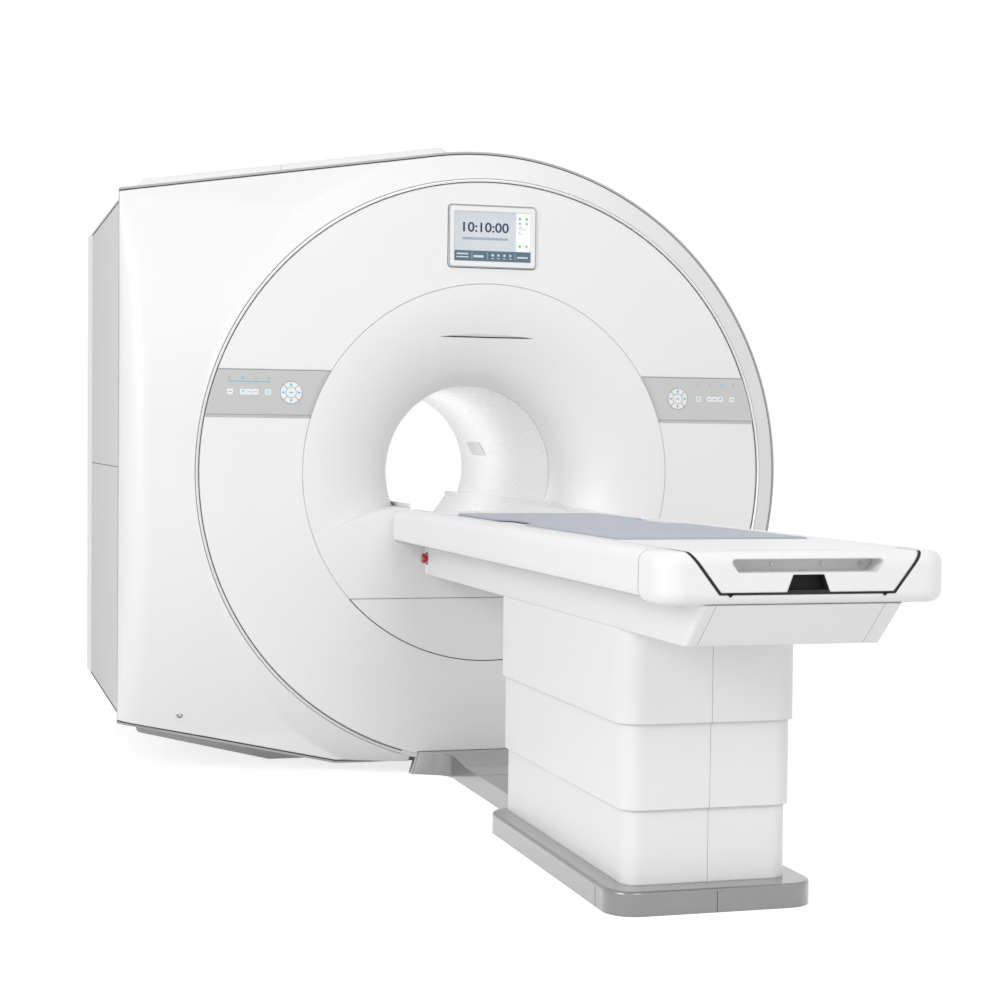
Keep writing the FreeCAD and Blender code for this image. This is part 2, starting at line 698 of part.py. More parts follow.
def plinth():
    """Grey base tray that carries the magnet: flat on the floor, rising to the left under the wing."""
    slope = math.radians(PLINTH_SLOPE)
    top = PLINTH_END_HEIGHT + 2 * GROUND_GAP

    def form(inset):
        left = inset - PLINTH_REACH
        foot = PLINTH_HALF_WIDTH - inset * math.tan(slope / 2)
        rise = (PLINTH_REACH - PLINTH_HALF_WIDTH) * math.tan(slope) + inset / math.cos(slope)
        cradle = PLINTH_HALF_WIDTH + 2 * PLINTH_ROUND - inset
        points = [(left, rise), (-foot, inset), (foot, inset), (cradle, PLINTH_ROUND), (cradle, top),
                  (left, top)]
        solid = prism_y(points, inset - PLINTH_FRONT, PLINTH_FRONT - inset)
        end = [e for e in edges_along(solid, ALONG_Y)
               if e.Vertexes[0].X < left + 1 and e.Vertexes[0].Z < rise + 1]
        return solid.makeFillet(PLINTH_ROUND - inset, end)

    skirt = form(0).cut(form(PLINTH_WALL))
    return skirt.cut(housing(BODY_INSET, -PLINTH_FRONT - 1, PLINTH_FRONT + 1))


# ---------------------------------------------------------------- bore

def bore_liner():
    """Patient tube."""
    return tube(LINER_OUTER, BORE_RADIUS, -BORE_HALF_LENGTH, BORE_HALF_LENGTH)


def bore_rail():
    """Trough along the bore's floor that carries the tabletop: upright at the top, then slanting in."""
    top = ISO_HEIGHT - RAIL_DROP
    low = top - RAIL_DEPTH
    reach = BORE_RADIUS
    section = rod(BORE_RADIUS - SEAT, FRONT_Y, REAR_Y)
    section = section.common(block(-reach, reach, FRONT_Y, REAR_Y, 0, top))
    half = [(RAIL_FLOOR_HALF_WIDTH, low), (RAIL_HALF_WIDTH, TABLE_TOP), (RAIL_HALF_WIDTH, top + 1)]
    channel = prism_y(half + [(-x, z) for x, z in reversed(half)], FRONT_Y - 1, REAR_Y + 1)
    under = block(-reach, reach, FRONT_Y - 1, REAR_Y + 1, 0, low - RAIL_WALL)
    return section.cut(channel).cut(under)


def bore_plate():
    """Slant-ended cover plate on the bore's right wall."""
    y0 = PLATE_Y - PLATE_LENGTH / 2
    y1 = PLATE_Y + PLATE_LENGTH / 2
    low = ISO_HEIGHT + PLATE_LOW
    high = ISO_HEIGHT + PLATE_HIGH
    outline = prism_x([(y0, low), (y1 - PLATE_CUT, low), (y1, high), (y0 + PLATE_CUT, high)], 0, BORE_RADIUS)
    ring = tube(BORE_RADIUS, BORE_RADIUS - PLATE_PROUD, y0, y1)
    return ring.common(outline)


# ---------------------------------------------------------------- magnet and coils

def vessel_feet(gap):
    """Blocks of the magnet's four feet, from the base tray up into the drum, grown by a gap."""
    half_width = VESSEL_FOOT_WIDTH / 2 + gap
    half_length = VESSEL_FOOT_LENGTH / 2 + gap
    return [block(x - half_width, x + half_width, y - half_length, y + half_length,
                  PLINTH_WALL, ISO_HEIGHT - VESSEL_RADIUS / 2)
            for x in (-VESSEL_FOOT_X, VESSEL_FOOT_X) for y in (-VESSEL_FOOT_Y, VESSEL_FOOT_Y)]


def vacuum_vessel():
    """Steel vessel of the magnet, hollow, on two pairs of feet that stand on the base tray."""
    half = VESSEL_HALF_LENGTH
    shell = tube(VESSEL_RADIUS, VESSEL_BORE, -half, half)
    inner_half = half - VESSEL_WALL
    hollow = tube(VESSEL_RADIUS - VESSEL_WALL, VESSEL_BORE + VESSEL_WALL, -inner_half, inner_half)
    drum = rod(VESSEL_RADIUS - VESSEL_WALL, -half, half)
    vessel = shell.cut(hollow)
    for foot in vessel_feet(0):
        vessel = vessel.fuse(foot.cut(drum))
    return vessel.removeSplitter()


def magnet_coils():
    """Helium tank's inner former with six superconducting windings, held by its end flanges."""
    end = VESSEL_HALF_LENGTH - VESSEL_WALL - SEAT
    inner = COIL_FORMER_RADIUS
    outer = inner + COIL_FORMER_WALL
    crown = outer + COIL_DEPTH
    profile = [(inner, -end), (crown, -end), (crown, -end + COIL_FORMER_WALL),
               (outer, -end + COIL_FORMER_WALL)]
    for side in (-1, 1):
        for width, centre in sorted(zip(COIL_WIDTHS, COIL_CENTRES), key=lambda coil: side * coil[1]):
            low = side * centre - width / 2
            high = side * centre + width / 2
            profile += [(outer, low), (crown, low), (crown, high), (outer, high)]
    profile += [(outer, end - COIL_FORMER_WALL), (crown, end - COIL_FORMER_WALL), (crown, end), (inner, end)]
    return turned(profile)


def collared_tube(inner, wall, half_length, collar, relief):
    """Tube about the bore with a thicker collar at each end."""
    outer = inner + wall
    middle = outer - relief
    return turned([
        (inner, -half_length), (outer, -half_length),
        (outer, collar - half_length), (middle, collar - half_length),
        (middle, half_length - collar), (outer, half_length - collar),
        (outer, half_length), (inner, half_length),
    ])


def gradient_coil():
    """Cast gradient coil, wedged in the vessel's warm bore by its end collars."""
    inner = VESSEL_BORE - SEAT - GRADIENT_WALL
    return collared_tube(inner, GRADIENT_WALL, GRADIENT_HALF_LENGTH, GRADIENT_COLLAR, GRADIENT_RELIEF)


def body_coil():
    """Birdcage transmit coil: a former on the patient tube with raised rungs and end rings."""
    inner = LINER_OUTER + SEAT
    former = collared_tube(inner, BODY_COIL_WALL, BODY_COIL_HALF_LENGTH, BODY_COIL_COLLAR, BODY_COIL_WALL / 2)
    coil = former
    radius = inner + BODY_COIL_WALL / 2
    width = 0.3 * 2 * math.pi * radius / BODY_COIL_RUNGS
    half = BODY_COIL_HALF_LENGTH - BODY_COIL_COLLAR
    for index in range(BODY_COIL_RUNGS):
        foot = ISO_HEIGHT + radius
        rung = block(-width / 2, width / 2, -half, half, foot - 1, foot + BODY_COIL_WALL / 3)
        rung.rotate(Vector(0, 0, ISO_HEIGHT), ALONG_Y, 360 * index / BODY_COIL_RUNGS)
        coil = coil.fuse(rung)
    return coil


def cold_head():
    """Cryocooler on the vessel's shoulder: flange, cylinder and motor, under the top cover."""
    ground = ISO_HEIGHT + math.sqrt(VESSEL_RADIUS ** 2 - COLD_HEAD_X ** 2)
    radius = COLD_HEAD_RADIUS
    place = Vector(COLD_HEAD_X, COLD_HEAD_Y, ground - radius)
    turret = Part.makeCylinder(TURRET_RADIUS, radius + TURRET_HEIGHT, place, ALONG_Z)
    neck = Part.makeCylinder(radius, radius + MOTOR_HIGH, place, ALONG_Z)
    motor = block(COLD_HEAD_X - radius, COLD_HEAD_X + radius, COLD_HEAD_Y - radius, COLD_HEAD_Y + 2 * radius,
                  ground + MOTOR_LOW, ground + MOTOR_HIGH)
    head = turret.fuse(neck).fuse(motor)
    return head.cut(rod(VESSEL_RADIUS + SEAT, -VESSEL_HALF_LENGTH, VESSEL_HALF_LENGTH)).removeSplitter()


# ---------------------------------------------------------------- display and control panels

def display_block(inset, gap, y0, y1, flange=0.0):
    """Upright rounded slab in the display's place, smaller by a flange and grown by a gap."""
    half_width = DISPLAY_WIDTH / 2 - inset - flange + gap
    half_tall = DISPLAY_TALL / 2 - inset - flange + gap
    z = ISO_HEIGHT + DISPLAY_HEIGHT
    solid = block(DISPLAY_X - half_width, DISPLAY_X + half_width, y0, y1, z - half_tall, z + half_tall)
    return solid.makeFillet(DISPLAY_ROUND, edges_along(solid, ALONG_Y))


def screen_block(gap, y0, y1):
    """Slab in the screen's place, grown by a gap."""
    half_width = SCREEN_WIDTH / 2 + gap
    half_tall = SCREEN_TALL / 2 + gap
    z = ISO_HEIGHT + DISPLAY_HEIGHT
    return block(DISPLAY_X - half_width, DISPLAY_X + half_width, y0, y1, z - half_tall, z + half_tall)


def display_bezel():
    """Display housing: a proud frame on the disc and a box through it."""
    front = FRONT_Y - DISPLAY_PROUD
    flange = display_block(0, 0, front, FRONT_Y)
    box = display_block(0, 0, FRONT_Y - 1, front + DISPLAY_DEPTH, DISPLAY_FLANGE)
    recess = screen_block(SEAT, front - 1, front + SCREEN_THICKNESS + 1)
    return flange.fuse(box).cut(recess).removeSplitter()


def display_screen():
    """Glass of the display, set one millimetre below the frame."""
    front = FRONT_Y - DISPLAY_PROUD + 1
    return screen_block(0, front, front + SCREEN_THICKNESS)


def key_block(x, gap, y0, y1):
    """Square key's slab, grown by a gap."""
    half = KEY_SIDE / 2 + gap
    z = ISO_HEIGHT + KEY_HEIGHT
    solid = block(x - half, x + half, y0, y1, z - half, z + half)
    return solid.makeFillet(KEY_ROUND + gap, edges_along(solid, ALONG_Y))


def strip_places():
    """Places across of the three keys that stand side by side."""
    step = KEY_SIDE + 2 * KEY_GAP
    return [STRIP_KEY_CENTRE + step * k for k in (-1, 0, 1)]


def control_panel():
    """Right control panel, set in the disc's recess, with a pocket under every key."""
    front = FRONT_Y - PANEL_PROUD
    panel = panel_band(PANEL_LOW, PANEL_HIGH, MOUTH_RADIUS, DISC_RADIUS, front, FRONT_Y + PANEL_SINK)
    low = ISO_HEIGHT + PANEL_LOW
    rim = FRONT_Y - 1
    foot = [(front - 1, low - 1), (rim, low - 1), (rim, low), (front, low + PANEL_BEVEL),
            (front - 1, low + PANEL_BEVEL)]
    end = [(MOUTH_RADIUS - 1, front - 1), (MOUTH_RADIUS - 1, rim), (MOUTH_RADIUS, rim),
           (MOUTH_RADIUS + PANEL_BEVEL, front), (MOUTH_RADIUS + PANEL_BEVEL, front - 1)]
    panel = panel.cut(prism_x(foot, 0, DISC_RADIUS)).cut(turned(end))
    bottom = FRONT_Y + PANEL_SINK - PANEL_FLOOR
    for x in [SQUARE_KEY_INNER] + strip_places() + [SQUARE_KEY_OUTER]:
        panel = panel.cut(key_block(x, KEY_GAP, front - 1, bottom))
    z = ISO_HEIGHT + KEY_HEIGHT
    return panel.cut(rod(PAD_RADIUS + KEY_GAP, front - 1, bottom, PAD_X, z))


def square_key(x):
    """One push key of the right panel."""
    front = FRONT_Y - PANEL_PROUD - KEY_PROUD
    return key_block(x, 0, front, front + KEY_LENGTH)


def pad_ring():
    """Four-way ring round the pad's middle key, with a shallow groove between its four fields."""
    front = FRONT_Y - PANEL_PROUD - KEY_PROUD
    z = ISO_HEIGHT + KEY_HEIGHT
    ring = tube(PAD_RADIUS, PAD_KEY_RADIUS + KEY_GAP, front, front + KEY_LENGTH, PAD_X, z)
    for angle in (45, 135):
        half = PAD_GROOVE / 2
        groove = block(-PAD_RADIUS, PAD_RADIUS, front - 1, front + half, -half, half)
        groove.rotate(Vector(0, 0, 0), ALONG_Y, angle)
        groove.translate(Vector(PAD_X, 0, z))
        ring = ring.cut(groove)
    return ring


def pad_key():
    """Round key in the middle of the pad."""
    front = FRONT_Y - PANEL_PROUD - KEY_PROUD
    return rod(PAD_KEY_RADIUS, front, front + KEY_LENGTH, PAD_X, ISO_HEIGHT + KEY_HEIGHT)


# ---------------------------------------------------------------- table

def table_block():
    """Table's outer form with rounded edges and rounder corners at its foot."""
    solid = block(-TABLE_HALF_WIDTH, TABLE_HALF_WIDTH, TABLE_FOOT_Y, TABLE_HEAD_Y, TABLE_BOTTOM, TABLE_TOP)
    upright = edges_along(solid, ALONG_Z)
    solid = solid.makeFillet(TABLE_CORNER, [e for e in upright if e.Vertexes[0].Y < TABLE_FOOT_Y + 1])
    return solid.makeFillet(TABLE_ROUND, solid.Edges)


def top_section(gap, low_gap, y0, y1):
    """Trapezoid of the sliding top carried along the bore, grown by a gap at its sides and below."""
    slant = (TOP_HALF_WIDTH - TOP_FLOOR_HALF_WIDTH) / TOP_THICKNESS
    high = TABLE_TOP + 1
    low = TOP_UNDERSIDE - low_gap
    wide = TOP_HALF_WIDTH + slant + gap
    narrow = TOP_FLOOR_HALF_WIDTH - slant * low_gap + gap
    return prism_y([(-wide, high), (-narrow, low), (narrow, low), (wide, high)], y0, y1)


def handle_section(reach):
    """Trapezoid of the handle opening in the top's foot end, as deep as asked."""
    high = TABLE_TOP - HANDLE_DROP
    low = high - HANDLE_TALL
    foot = HANDLE_HALF_WIDTH - HANDLE_TAPER
    solid = prism_y([(-HANDLE_HALF_WIDTH, high), (-foot, low), (foot, low), (HANDLE_HALF_WIDTH, high)],
                    TABLE_FOOT_Y - 1, TABLE_FOOT_Y + reach)
    return solid.makeFillet(HANDLE_TALL / 4, edges_along(solid, ALONG_Y))


def tabletop():
    """Sliding patient top: a long trapezoid board with a bed for the mats and a handle at its foot."""
    board = top_section(0, 0, TABLE_FOOT_Y - 1, TOP_HEAD_Y)
    form = block(-TABLE_HALF_WIDTH, TABLE_HALF_WIDTH, TABLE_FOOT_Y, TOP_HEAD_Y, TABLE_BOTTOM, TABLE_TOP)
    ends = [e for e in edges_in_plane(form, "y", TABLE_FOOT_Y) if abs(e.Vertexes[0].Z - e.Vertexes[1].Z) < 1]
    form = form.makeFillet(TABLE_ROUND, ends)
    board = board.common(form)
    bed = block(-MAT_HALF_WIDTH - SEAT, MAT_HALF_WIDTH + SEAT, FRONT_Y - FOOT_MAT_FOOT - SEAT, TOP_HEAD_Y + 1,
                TABLE_TOP - MAT_BED, TABLE_TOP + 2)
    notch_low = TOP_UNDERSIDE + NOTCH_RISE
    notch = prism_y([(-NOTCH_FLOOR, notch_low), (NOTCH_FLOOR, notch_low),
                     (NOTCH_HEAD, notch_low + NOTCH_TALL), (-NOTCH_HEAD, notch_low + NOTCH_TALL)],
                    TABLE_FOOT_Y - 1, TABLE_FOOT_Y + NOTCH_DEPTH)
    return board.cut(bed).cut(handle_section(HANDLE_DEPTH)).cut(notch)


def table_shell_parts():
    """Two long fascias and the foot end cap, cut from one rounded form round the sliding top."""
    form = table_block()
    form = form.cut(top_section(TOP_GAP, TOP_FLOOR_GAP, TABLE_FOOT_Y - 1, TABLE_HEAD_Y + 1))
    middle = TOP_FLOOR_HALF_WIDTH + TOP_GAP
    cap_end = TABLE_FOOT_Y + FOOT_CAP_LENGTH
    reach = TABLE_HALF_WIDTH + 1
    cap = form.common(block(-reach, reach, TABLE_FOOT_Y - 1, cap_end - SEAM / 2, 0, TABLE_TOP + 1))
    cap = cap.cut(top_section(CAP_GAP, TOP_FLOOR_GAP, TABLE_FOOT_Y - 1, cap_end))
    beam = form.common(block(middle, reach, cap_end + SEAM / 2, TABLE_HEAD_Y + 1, 0, TABLE_TOP + 1))
    hollow = block(TRAY_HALF_WIDTH + FASCIA_RIB, TABLE_HALF_WIDTH - FASCIA_WALL, cap_end + FASCIA_WALL,
                   TABLE_HEAD_Y - FASCIA_WALL - TABLE_ROUND / 2, TABLE_BOTTOM - 1, TABLE_TOP - TABLE_ROUND)
    beam = beam.cut(hollow)
    return mirrored(beam), beam, cap


def tray_form(inset):
    """Beam under the table: its foot end leans, its upright corners are rounded."""
    half = TRAY_HALF_WIDTH - inset
    foot = FRONT_Y - TRAY_FOOT
    head = FRONT_Y - TRAY_GAP
    profile = [(foot, TABLE_BOTTOM), (head, TABLE_BOTTOM), (head, TRAY_BOTTOM),
               (foot + TRAY_SLANT, TRAY_BOTTOM)]
    beam = prism_x(profile, -half, half)
    corners = edges_along(beam, ALONG_Z)
    corners += [e for e in beam.Edges if abs(e.Vertexes[0].Y - e.Vertexes[-1].Y) > TRAY_SLANT / 2
                and abs(e.Vertexes[0].Z - e.Vertexes[-1].Z) > TRAY_DEPTH / 2]
    return beam.makeFillet(TRAY_CORNER, corners)


def tray_parts():
    """Tray that carries the table's working parts, and its head end cap with the stop switches' collars."""
    beam = tray_form(0)
    split = FRONT_Y - TRAY_GAP - TRAY_CAP
    reach = TRAY_HALF_WIDTH + 1
    wall = TRAY_WALL
    foot_wall = FRONT_Y - TRAY_FOOT + TRAY_SLANT + 2 * wall
    inside = block(-TRAY_HALF_WIDTH + wall, TRAY_HALF_WIDTH - wall, foot_wall, split + 1,
                   TRAY_BOTTOM + wall, TABLE_BOTTOM - wall)
    tray = beam.common(block(-reach, reach, FRONT_Y - TRAY_FOOT - 1, split - SEAM / 2, 0, TABLE_TOP))
    tray = tray.cut(inside)
    cap = beam.common(block(-reach, reach, split + SEAM / 2, FRONT_Y, 0, TABLE_TOP))
    cap_room = block(-TRAY_HALF_WIDTH + wall, TRAY_HALF_WIDTH - wall, split, FRONT_Y - TRAY_GAP - wall,
                     TRAY_BOTTOM + wall, TABLE_BOTTOM - wall)
    cap = cap.cut(cap_room)
    for side in (-1, 1):
        place = Vector(side * (TRAY_HALF_WIDTH - wall), STOP_Y, STOP_Z)
        collar = Part.makeCylinder(STOP_COLLAR, wall + STOP_RIM, place, ALONG_X * side)
        start = place - ALONG_X * side * wall
        bore = Part.makeCylinder(STOP_STEM_RADIUS + SEAT, 3 * wall, start, ALONG_X * side)
        cap = cap.fuse(collar).cut(bore)
    return tray, cap


def emergency_stop():
    """Red mushroom button on the right side of the tray, with its stem through the collar."""
    seat = TRAY_HALF_WIDTH + STOP_RIM + STOP_TRAVEL + SEAT
    place = Vector(seat, STOP_Y, STOP_Z)
    cap = Part.makeCylinder(STOP_RADIUS, STOP_PROUD, place, ALONG_X)
    crown = edges_in_plane(cap, "x", seat + STOP_PROUD)
    cap = cap.makeFillet(STOP_PROUD / 3, crown)
    stem = Part.makeCylinder(STOP_STEM_RADIUS, STOP_STEM, place - ALONG_X * STOP_STEM, ALONG_X)
    return cap.fuse(stem).removeSplitter()


def table_rails():
    """Pair of guide rails on the tray, with a wider head under the sliding top."""
    rails = []
    y0 = TABLE_FOOT_Y + FOOT_CAP_LENGTH + RUNNER_END_GAP
    y1 = TABLE_HEAD_Y - RUNNER_END_GAP
    top = TOP_UNDERSIDE - SEAT
    neck = TABLE_BOTTOM + 0.6 * (top - TABLE_BOTTOM)
    for side in (-1, 1):
        x = side * RUNNER_X
        foot = block(x - RUNNER_WIDTH / 2, x + RUNNER_WIDTH / 2, y0, y1,
                     TABLE_BOTTOM, TABLE_BOTTOM + RUNNER_WIDTH / 4)
        web = block(x - RUNNER_WIDTH / 4, x + RUNNER_WIDTH / 4, y0, y1, TABLE_BOTTOM, neck + 1)
        head = block(x - RUNNER_WIDTH / 2, x + RUNNER_WIDTH / 2, y0, y1, neck, top)
        rails.append(foot.fuse(web).fuse(head).removeSplitter())
    return Part.makeCompound(rails)


def table_drive():
    """Belt drive between the rails: an endless belt over two pulleys."""
    y0 = TABLE_FOOT_Y + FOOT_CAP_LENGTH + 2 * RUNNER_END_GAP
    y1 = TABLE_HEAD_Y - 2 * RUNNER_END_GAP
    outer = (TOP_UNDERSIDE - TABLE_BOTTOM - SEAT) / 2
    inner = outer - BELT_THICKNESS
    z = TABLE_BOTTOM + outer

    def loop(radius):
        slab = block(-BELT_WIDTH / 2, BELT_WIDTH / 2, y0, y1, z - radius, z + radius)
        ends = [Part.makeCylinder(radius, BELT_WIDTH, Vector(-BELT_WIDTH / 2, y, z), ALONG_X)
                for y in (y0, y1)]
        return slab.fuse(ends).removeSplitter()

    belt = loop(outer).cut(loop(inner))
    width = BELT_WIDTH + 2 * PULLEY_RIM
    pulleys = [Part.makeCylinder(inner, width, Vector(-width / 2, y, z), ALONG_X) for y in (y0, y1)]
    return Part.makeCompound([belt.fuse(pulleys)])


# ---------------------------------------------------------------- lift column

def shroud(stage, z0, z1):
    """Telescoping shroud, open above and below; each stage inwards is a step smaller."""
    step = stage * SHROUD_STEP
    y0 = FRONT_Y - SHROUD_FRONT + step
    y1 = FRONT_Y - SHROUD_BACK - step
    half = SHROUD_HALF_WIDTH - step
    wall = SHROUD_WALL
    outer = pillar(half, y0, y1, z0, z1, SHROUD_ROUND - step)
    return outer.cut(pillar(half - wall, y0 + wall, y1 - wall, z0, z1, SHROUD_ROUND - step - wall))


def column(stage, z0):
    """Square lift tube about the column's middle; each stage inwards slides in the one outside it."""
    half = COLUMN_WIDTH / 2 - stage * (COLUMN_WALL + COLUMN_FIT)
    inner = half - COLUMN_WALL
    outer = block(-half, half, COLUMN_Y - half, COLUMN_Y + half, z0, z0 + COLUMN_LENGTH)
    return outer.cut(block(-inner, inner, COLUMN_Y - inner, COLUMN_Y + inner, z0, z0 + COLUMN_LENGTH))


def lift_base():
    """Steel base plate with the fixed outer tube of the lift column."""
    inset = BASE_WALL + BASE_EDGE
    plate = pillar(BASE_HALF_WIDTH - inset, FRONT_Y - BASE_FRONT + inset, FRONT_Y - BASE_BACK - inset,
                   0, BASE_PLATE, BASE_ROUND - inset)
    bolts = []
    reach_x = BASE_HALF_WIDTH - 5 * inset
    reach_y = (BASE_FRONT - BASE_BACK) / 2 - 5 * inset
    for x in (-reach_x, reach_x):
        for y in (COLUMN_Y - reach_y, COLUMN_Y + reach_y):
            bolts.append(Part.makeCylinder(ANCHOR_HOLE / 2, BASE_PLATE + 2, Vector(x, y, -1), ALONG_Z))
    return plate.cut(Part.makeCompound(bolts)).fuse(column(0, BASE_PLATE)).removeSplitter()


def middle_column():
    """Second tube of the column, with the plate at its top that carries the middle shroud."""
    top = MIDDLE_COLUMN_TOP
    tube_part = column(1, top - COLUMN_LENGTH)
    half = COLUMN_WIDTH / 2 - COLUMN_WALL - COLUMN_FIT
    plate_half = SHROUD_HALF_WIDTH - SHROUD_STEP
    plate = pillar(plate_half, FRONT_Y - SHROUD_FRONT + SHROUD_STEP, FRONT_Y - SHROUD_BACK - SHROUD_STEP,
                   top - CARRIER_PLATE, top, SHROUD_ROUND - SHROUD_STEP)
    opening = block(-half + 1, half - 1, COLUMN_Y - half + 1, COLUMN_Y + half - 1, 0, TABLE_TOP)
    return plate.cut(opening).fuse(tube_part).removeSplitter()


def upper_column():
    """Inner tube of the column, bolted under the tray through its head plate."""
    tube_part = column(2, TRAY_BOTTOM - COLUMN_LENGTH)
    half = COLUMN_WIDTH / 2
    plate = block(-half, half, COLUMN_Y - half, COLUMN_Y + half, TRAY_BOTTOM - CARRIER_PLATE, TRAY_BOTTOM)
    return plate.fuse(tube_part).removeSplitter()


# ---------------------------------------------------------------- base, bridge and docking frame

def base_cover():
    """Grey moulded foot cover with a rounded upper edge, open below and over the column."""
    y0 = FRONT_Y - BASE_FRONT
    y1 = FRONT_Y - BASE_BACK
    outer = pillar(BASE_HALF_WIDTH, y0, y1, 0, BASE_HEIGHT, BASE_ROUND)
    outer = outer.makeFillet(BASE_EDGE, edges_in_plane(outer, "z", BASE_HEIGHT))
    wall = BASE_WALL
    inner = pillar(BASE_HALF_WIDTH - wall, y0 + wall, y1 - wall, -1, BASE_HEIGHT - wall, BASE_ROUND - wall)
    half = COLUMN_WIDTH / 2 + SEAM
    well = block(-half, half, COLUMN_Y - half, COLUMN_Y + half, 0, BASE_HEIGHT + 1)
    return outer.cut(inner).cut(well)


def bridge_outline(inset, z):
    """Plan of the bridge at one level: a parallel run that flares into the docking frame."""
    foot_y = FRONT_Y - BASE_BACK + SEAM
    head_y = FRONT_Y - SEAM
    side = BRIDGE_HALF_WIDTH - inset
    bend_y = head_y - FLARE_LENGTH
    turn_x = side + FLARE_TURN
    turn_y = head_y - FLARE_LENGTH / 4
    flare = BRIDGE_FLARE - inset * BRIDGE_FLARE_TAPER / BRIDGE_TAPER
    cos45 = math.sqrt(0.5)

    def flare_arc(sign):
        middle = Vector(sign * (turn_x - FLARE_TURN * cos45), bend_y + (turn_y - bend_y) * cos45, z)
        return Part.Arc(Vector(sign * side, bend_y, z), middle, Vector(sign * turn_x, turn_y, z)).toShape()

    corners_right = [Vector(turn_x, turn_y, z), Vector(flare, head_y, z), Vector(-flare, head_y, z),
                     Vector(-turn_x, turn_y, z)]
    corners_foot = [Vector(-side, bend_y, z), Vector(-side, foot_y, z), Vector(side, foot_y, z),
                    Vector(side, bend_y, z)]
    lines = [Part.makeLine(a, b) for a, b in zip(corners_right, corners_right[1:])]
    lines += [Part.makeLine(a, b) for a, b in zip(corners_foot, corners_foot[1:])]
    return Part.Wire(Part.__sortEdges__([flare_arc(-1), flare_arc(1)] + lines))


def bridge_cover():
    """Cover over the cable run between column and housing, with drafted sides and a rising head."""
    body = Part.makeLoft([bridge_outline(0, 0), bridge_outline(BRIDGE_TAPER, DOCK_HEIGHT)], True, True)
    foot_y = FRONT_Y - BASE_BACK
    rise_y = FRONT_Y - 2 * FLARE_LENGTH
    profile = [(foot_y, 0), (foot_y, BASE_HEIGHT), (rise_y, BASE_HEIGHT),
               (FRONT_Y - FLARE_LENGTH / 3, DOCK_HEIGHT), (FRONT_Y, DOCK_HEIGHT), (FRONT_Y, 0)]
    reach = DOCK_HALF_WIDTH + 1
    body = body.common(prism_x(profile, -reach, reach))
    run = block(-BRIDGE_HALF_WIDTH + 2 * BASE_WALL, BRIDGE_HALF_WIDTH - 2 * BASE_WALL, foot_y + BASE_WALL,
                FRONT_Y - BASE_WALL, -1, BASE_HEIGHT - BASE_WALL)
    return body.cut(run)


def docking_frame():
    """Metal arch in the housing's foot that the bridge docks against, with a dark slit behind its lip."""
    foot = DOCK_HALF_WIDTH
    head = foot - DOCK_TAPER
    y1 = FRONT_Y + DOCK_LENGTH
    outline = [(-foot, 0), (foot, 0), (head, DOCK_HEIGHT), (-head, DOCK_HEIGHT)]
    arch = prism_y(outline, FRONT_Y, y1)
    depth = DOCK_SLIT
    core = [(-foot + depth, 0), (foot - depth, 0), (head - depth, DOCK_HEIGHT - depth),
            (-head + depth, DOCK_HEIGHT - depth)]
    slit = prism_y(outline, FRONT_Y + depth, FRONT_Y + 2 * depth)
    slit = slit.cut(prism_y(core, FRONT_Y, y1))
    tail = block(-head, head, y1 - 1, FRONT_Y + SHELL_DEPTH / 2, 0, DOCK_HEIGHT / 2)
    return arch.cut(slit).fuse(tail).removeSplitter()


# ---------------------------------------------------------------- mats

def mat_edge(points, radius):
    """Mat of one thickness from the right half of its outline, mirrored, with its corners rounded."""
    outline = points + [(-x, y) for x, y in reversed(points)]
    bed = TABLE_TOP - MAT_BED
    mat = prism_z(outline, bed, bed + MAT_THICKNESS)
    mat = mat.makeFillet(radius, edges_along(mat, ALONG_Z))
    top = edges_in_plane(mat, "z", bed + MAT_THICKNESS)
    return mat.makeFillet(MAT_CROWN, top)


def body_mat():
    """Long mat from head to thigh, narrower between the arms."""
    head = FRONT_Y - BODY_MAT_HEAD
    waist_head = FRONT_Y - WAIST_HEAD
    waist_foot = FRONT_Y - WAIST_FOOT
    foot = FRONT_Y - BODY_MAT_FOOT + SEAT / 2
    slant = MAT_HALF_WIDTH - MAT_WAIST
    return mat_edge([(MAT_HEAD_HALF_WIDTH, head), (MAT_HEAD_HALF_WIDTH, waist_head + slant),
                     (MAT_WAIST, waist_head),
                     (MAT_WAIST, waist_foot), (MAT_HALF_WIDTH, waist_foot - slant), (MAT_HALF_WIDTH, foot)],
                    MAT_CORNER)


def foot_mat():
    """Short mat under the lower legs."""
    head = FRONT_Y - BODY_MAT_FOOT - SEAT / 2
    foot = FRONT_Y - FOOT_MAT_FOOT
    return mat_edge([(MAT_HALF_WIDTH, head), (MAT_HALF_WIDTH, foot)], MAT_CORNER)


# ---------------------------------------------------------------- all pieces

def gantry_pieces():
    """Covers, bore, magnet and plinth of the housing."""
    upper_funnel, lower_funnel = funnel_covers()
    return {
        "front_shell": front_shell(),
        "front_disc": front_disc(),
        "accent_ring": accent_ring(),
        "edge_trim": edge_trim(),
        "upper_funnel": upper_funnel,
        "lower_funnel": lower_funnel,
        "body_cover": body_cover(),
        "left_upper_panel": side_panel(SIDE_SEAM_HEIGHT + SEAM, SIDE_PANEL_TOP),
        "left_lower_panel": side_panel(-SIDE_PANEL_DROP, SIDE_SEAM_HEIGHT),
        "left_top_cover": top_cover(-TOP_COVER_LEFT, -TOP_COVER_SEAM - SEAM, True, False),
        "right_top_cover": top_cover(-TOP_COVER_SEAM, -TOP_COVER_RIGHT, False, True),
        "rear_cover": rear_cover(),
        "plinth": plinth(),
        "bore_liner": bore_liner(),
        "bore_rail": bore_rail(),
        "bore_plate": bore_plate(),
        "vacuum_vessel": vacuum_vessel(),
        "magnet_coils": magnet_coils(),
        "gradient_coil": gradient_coil(),
        "body_coil": body_coil(),
        "cold_head": cold_head(),
    }


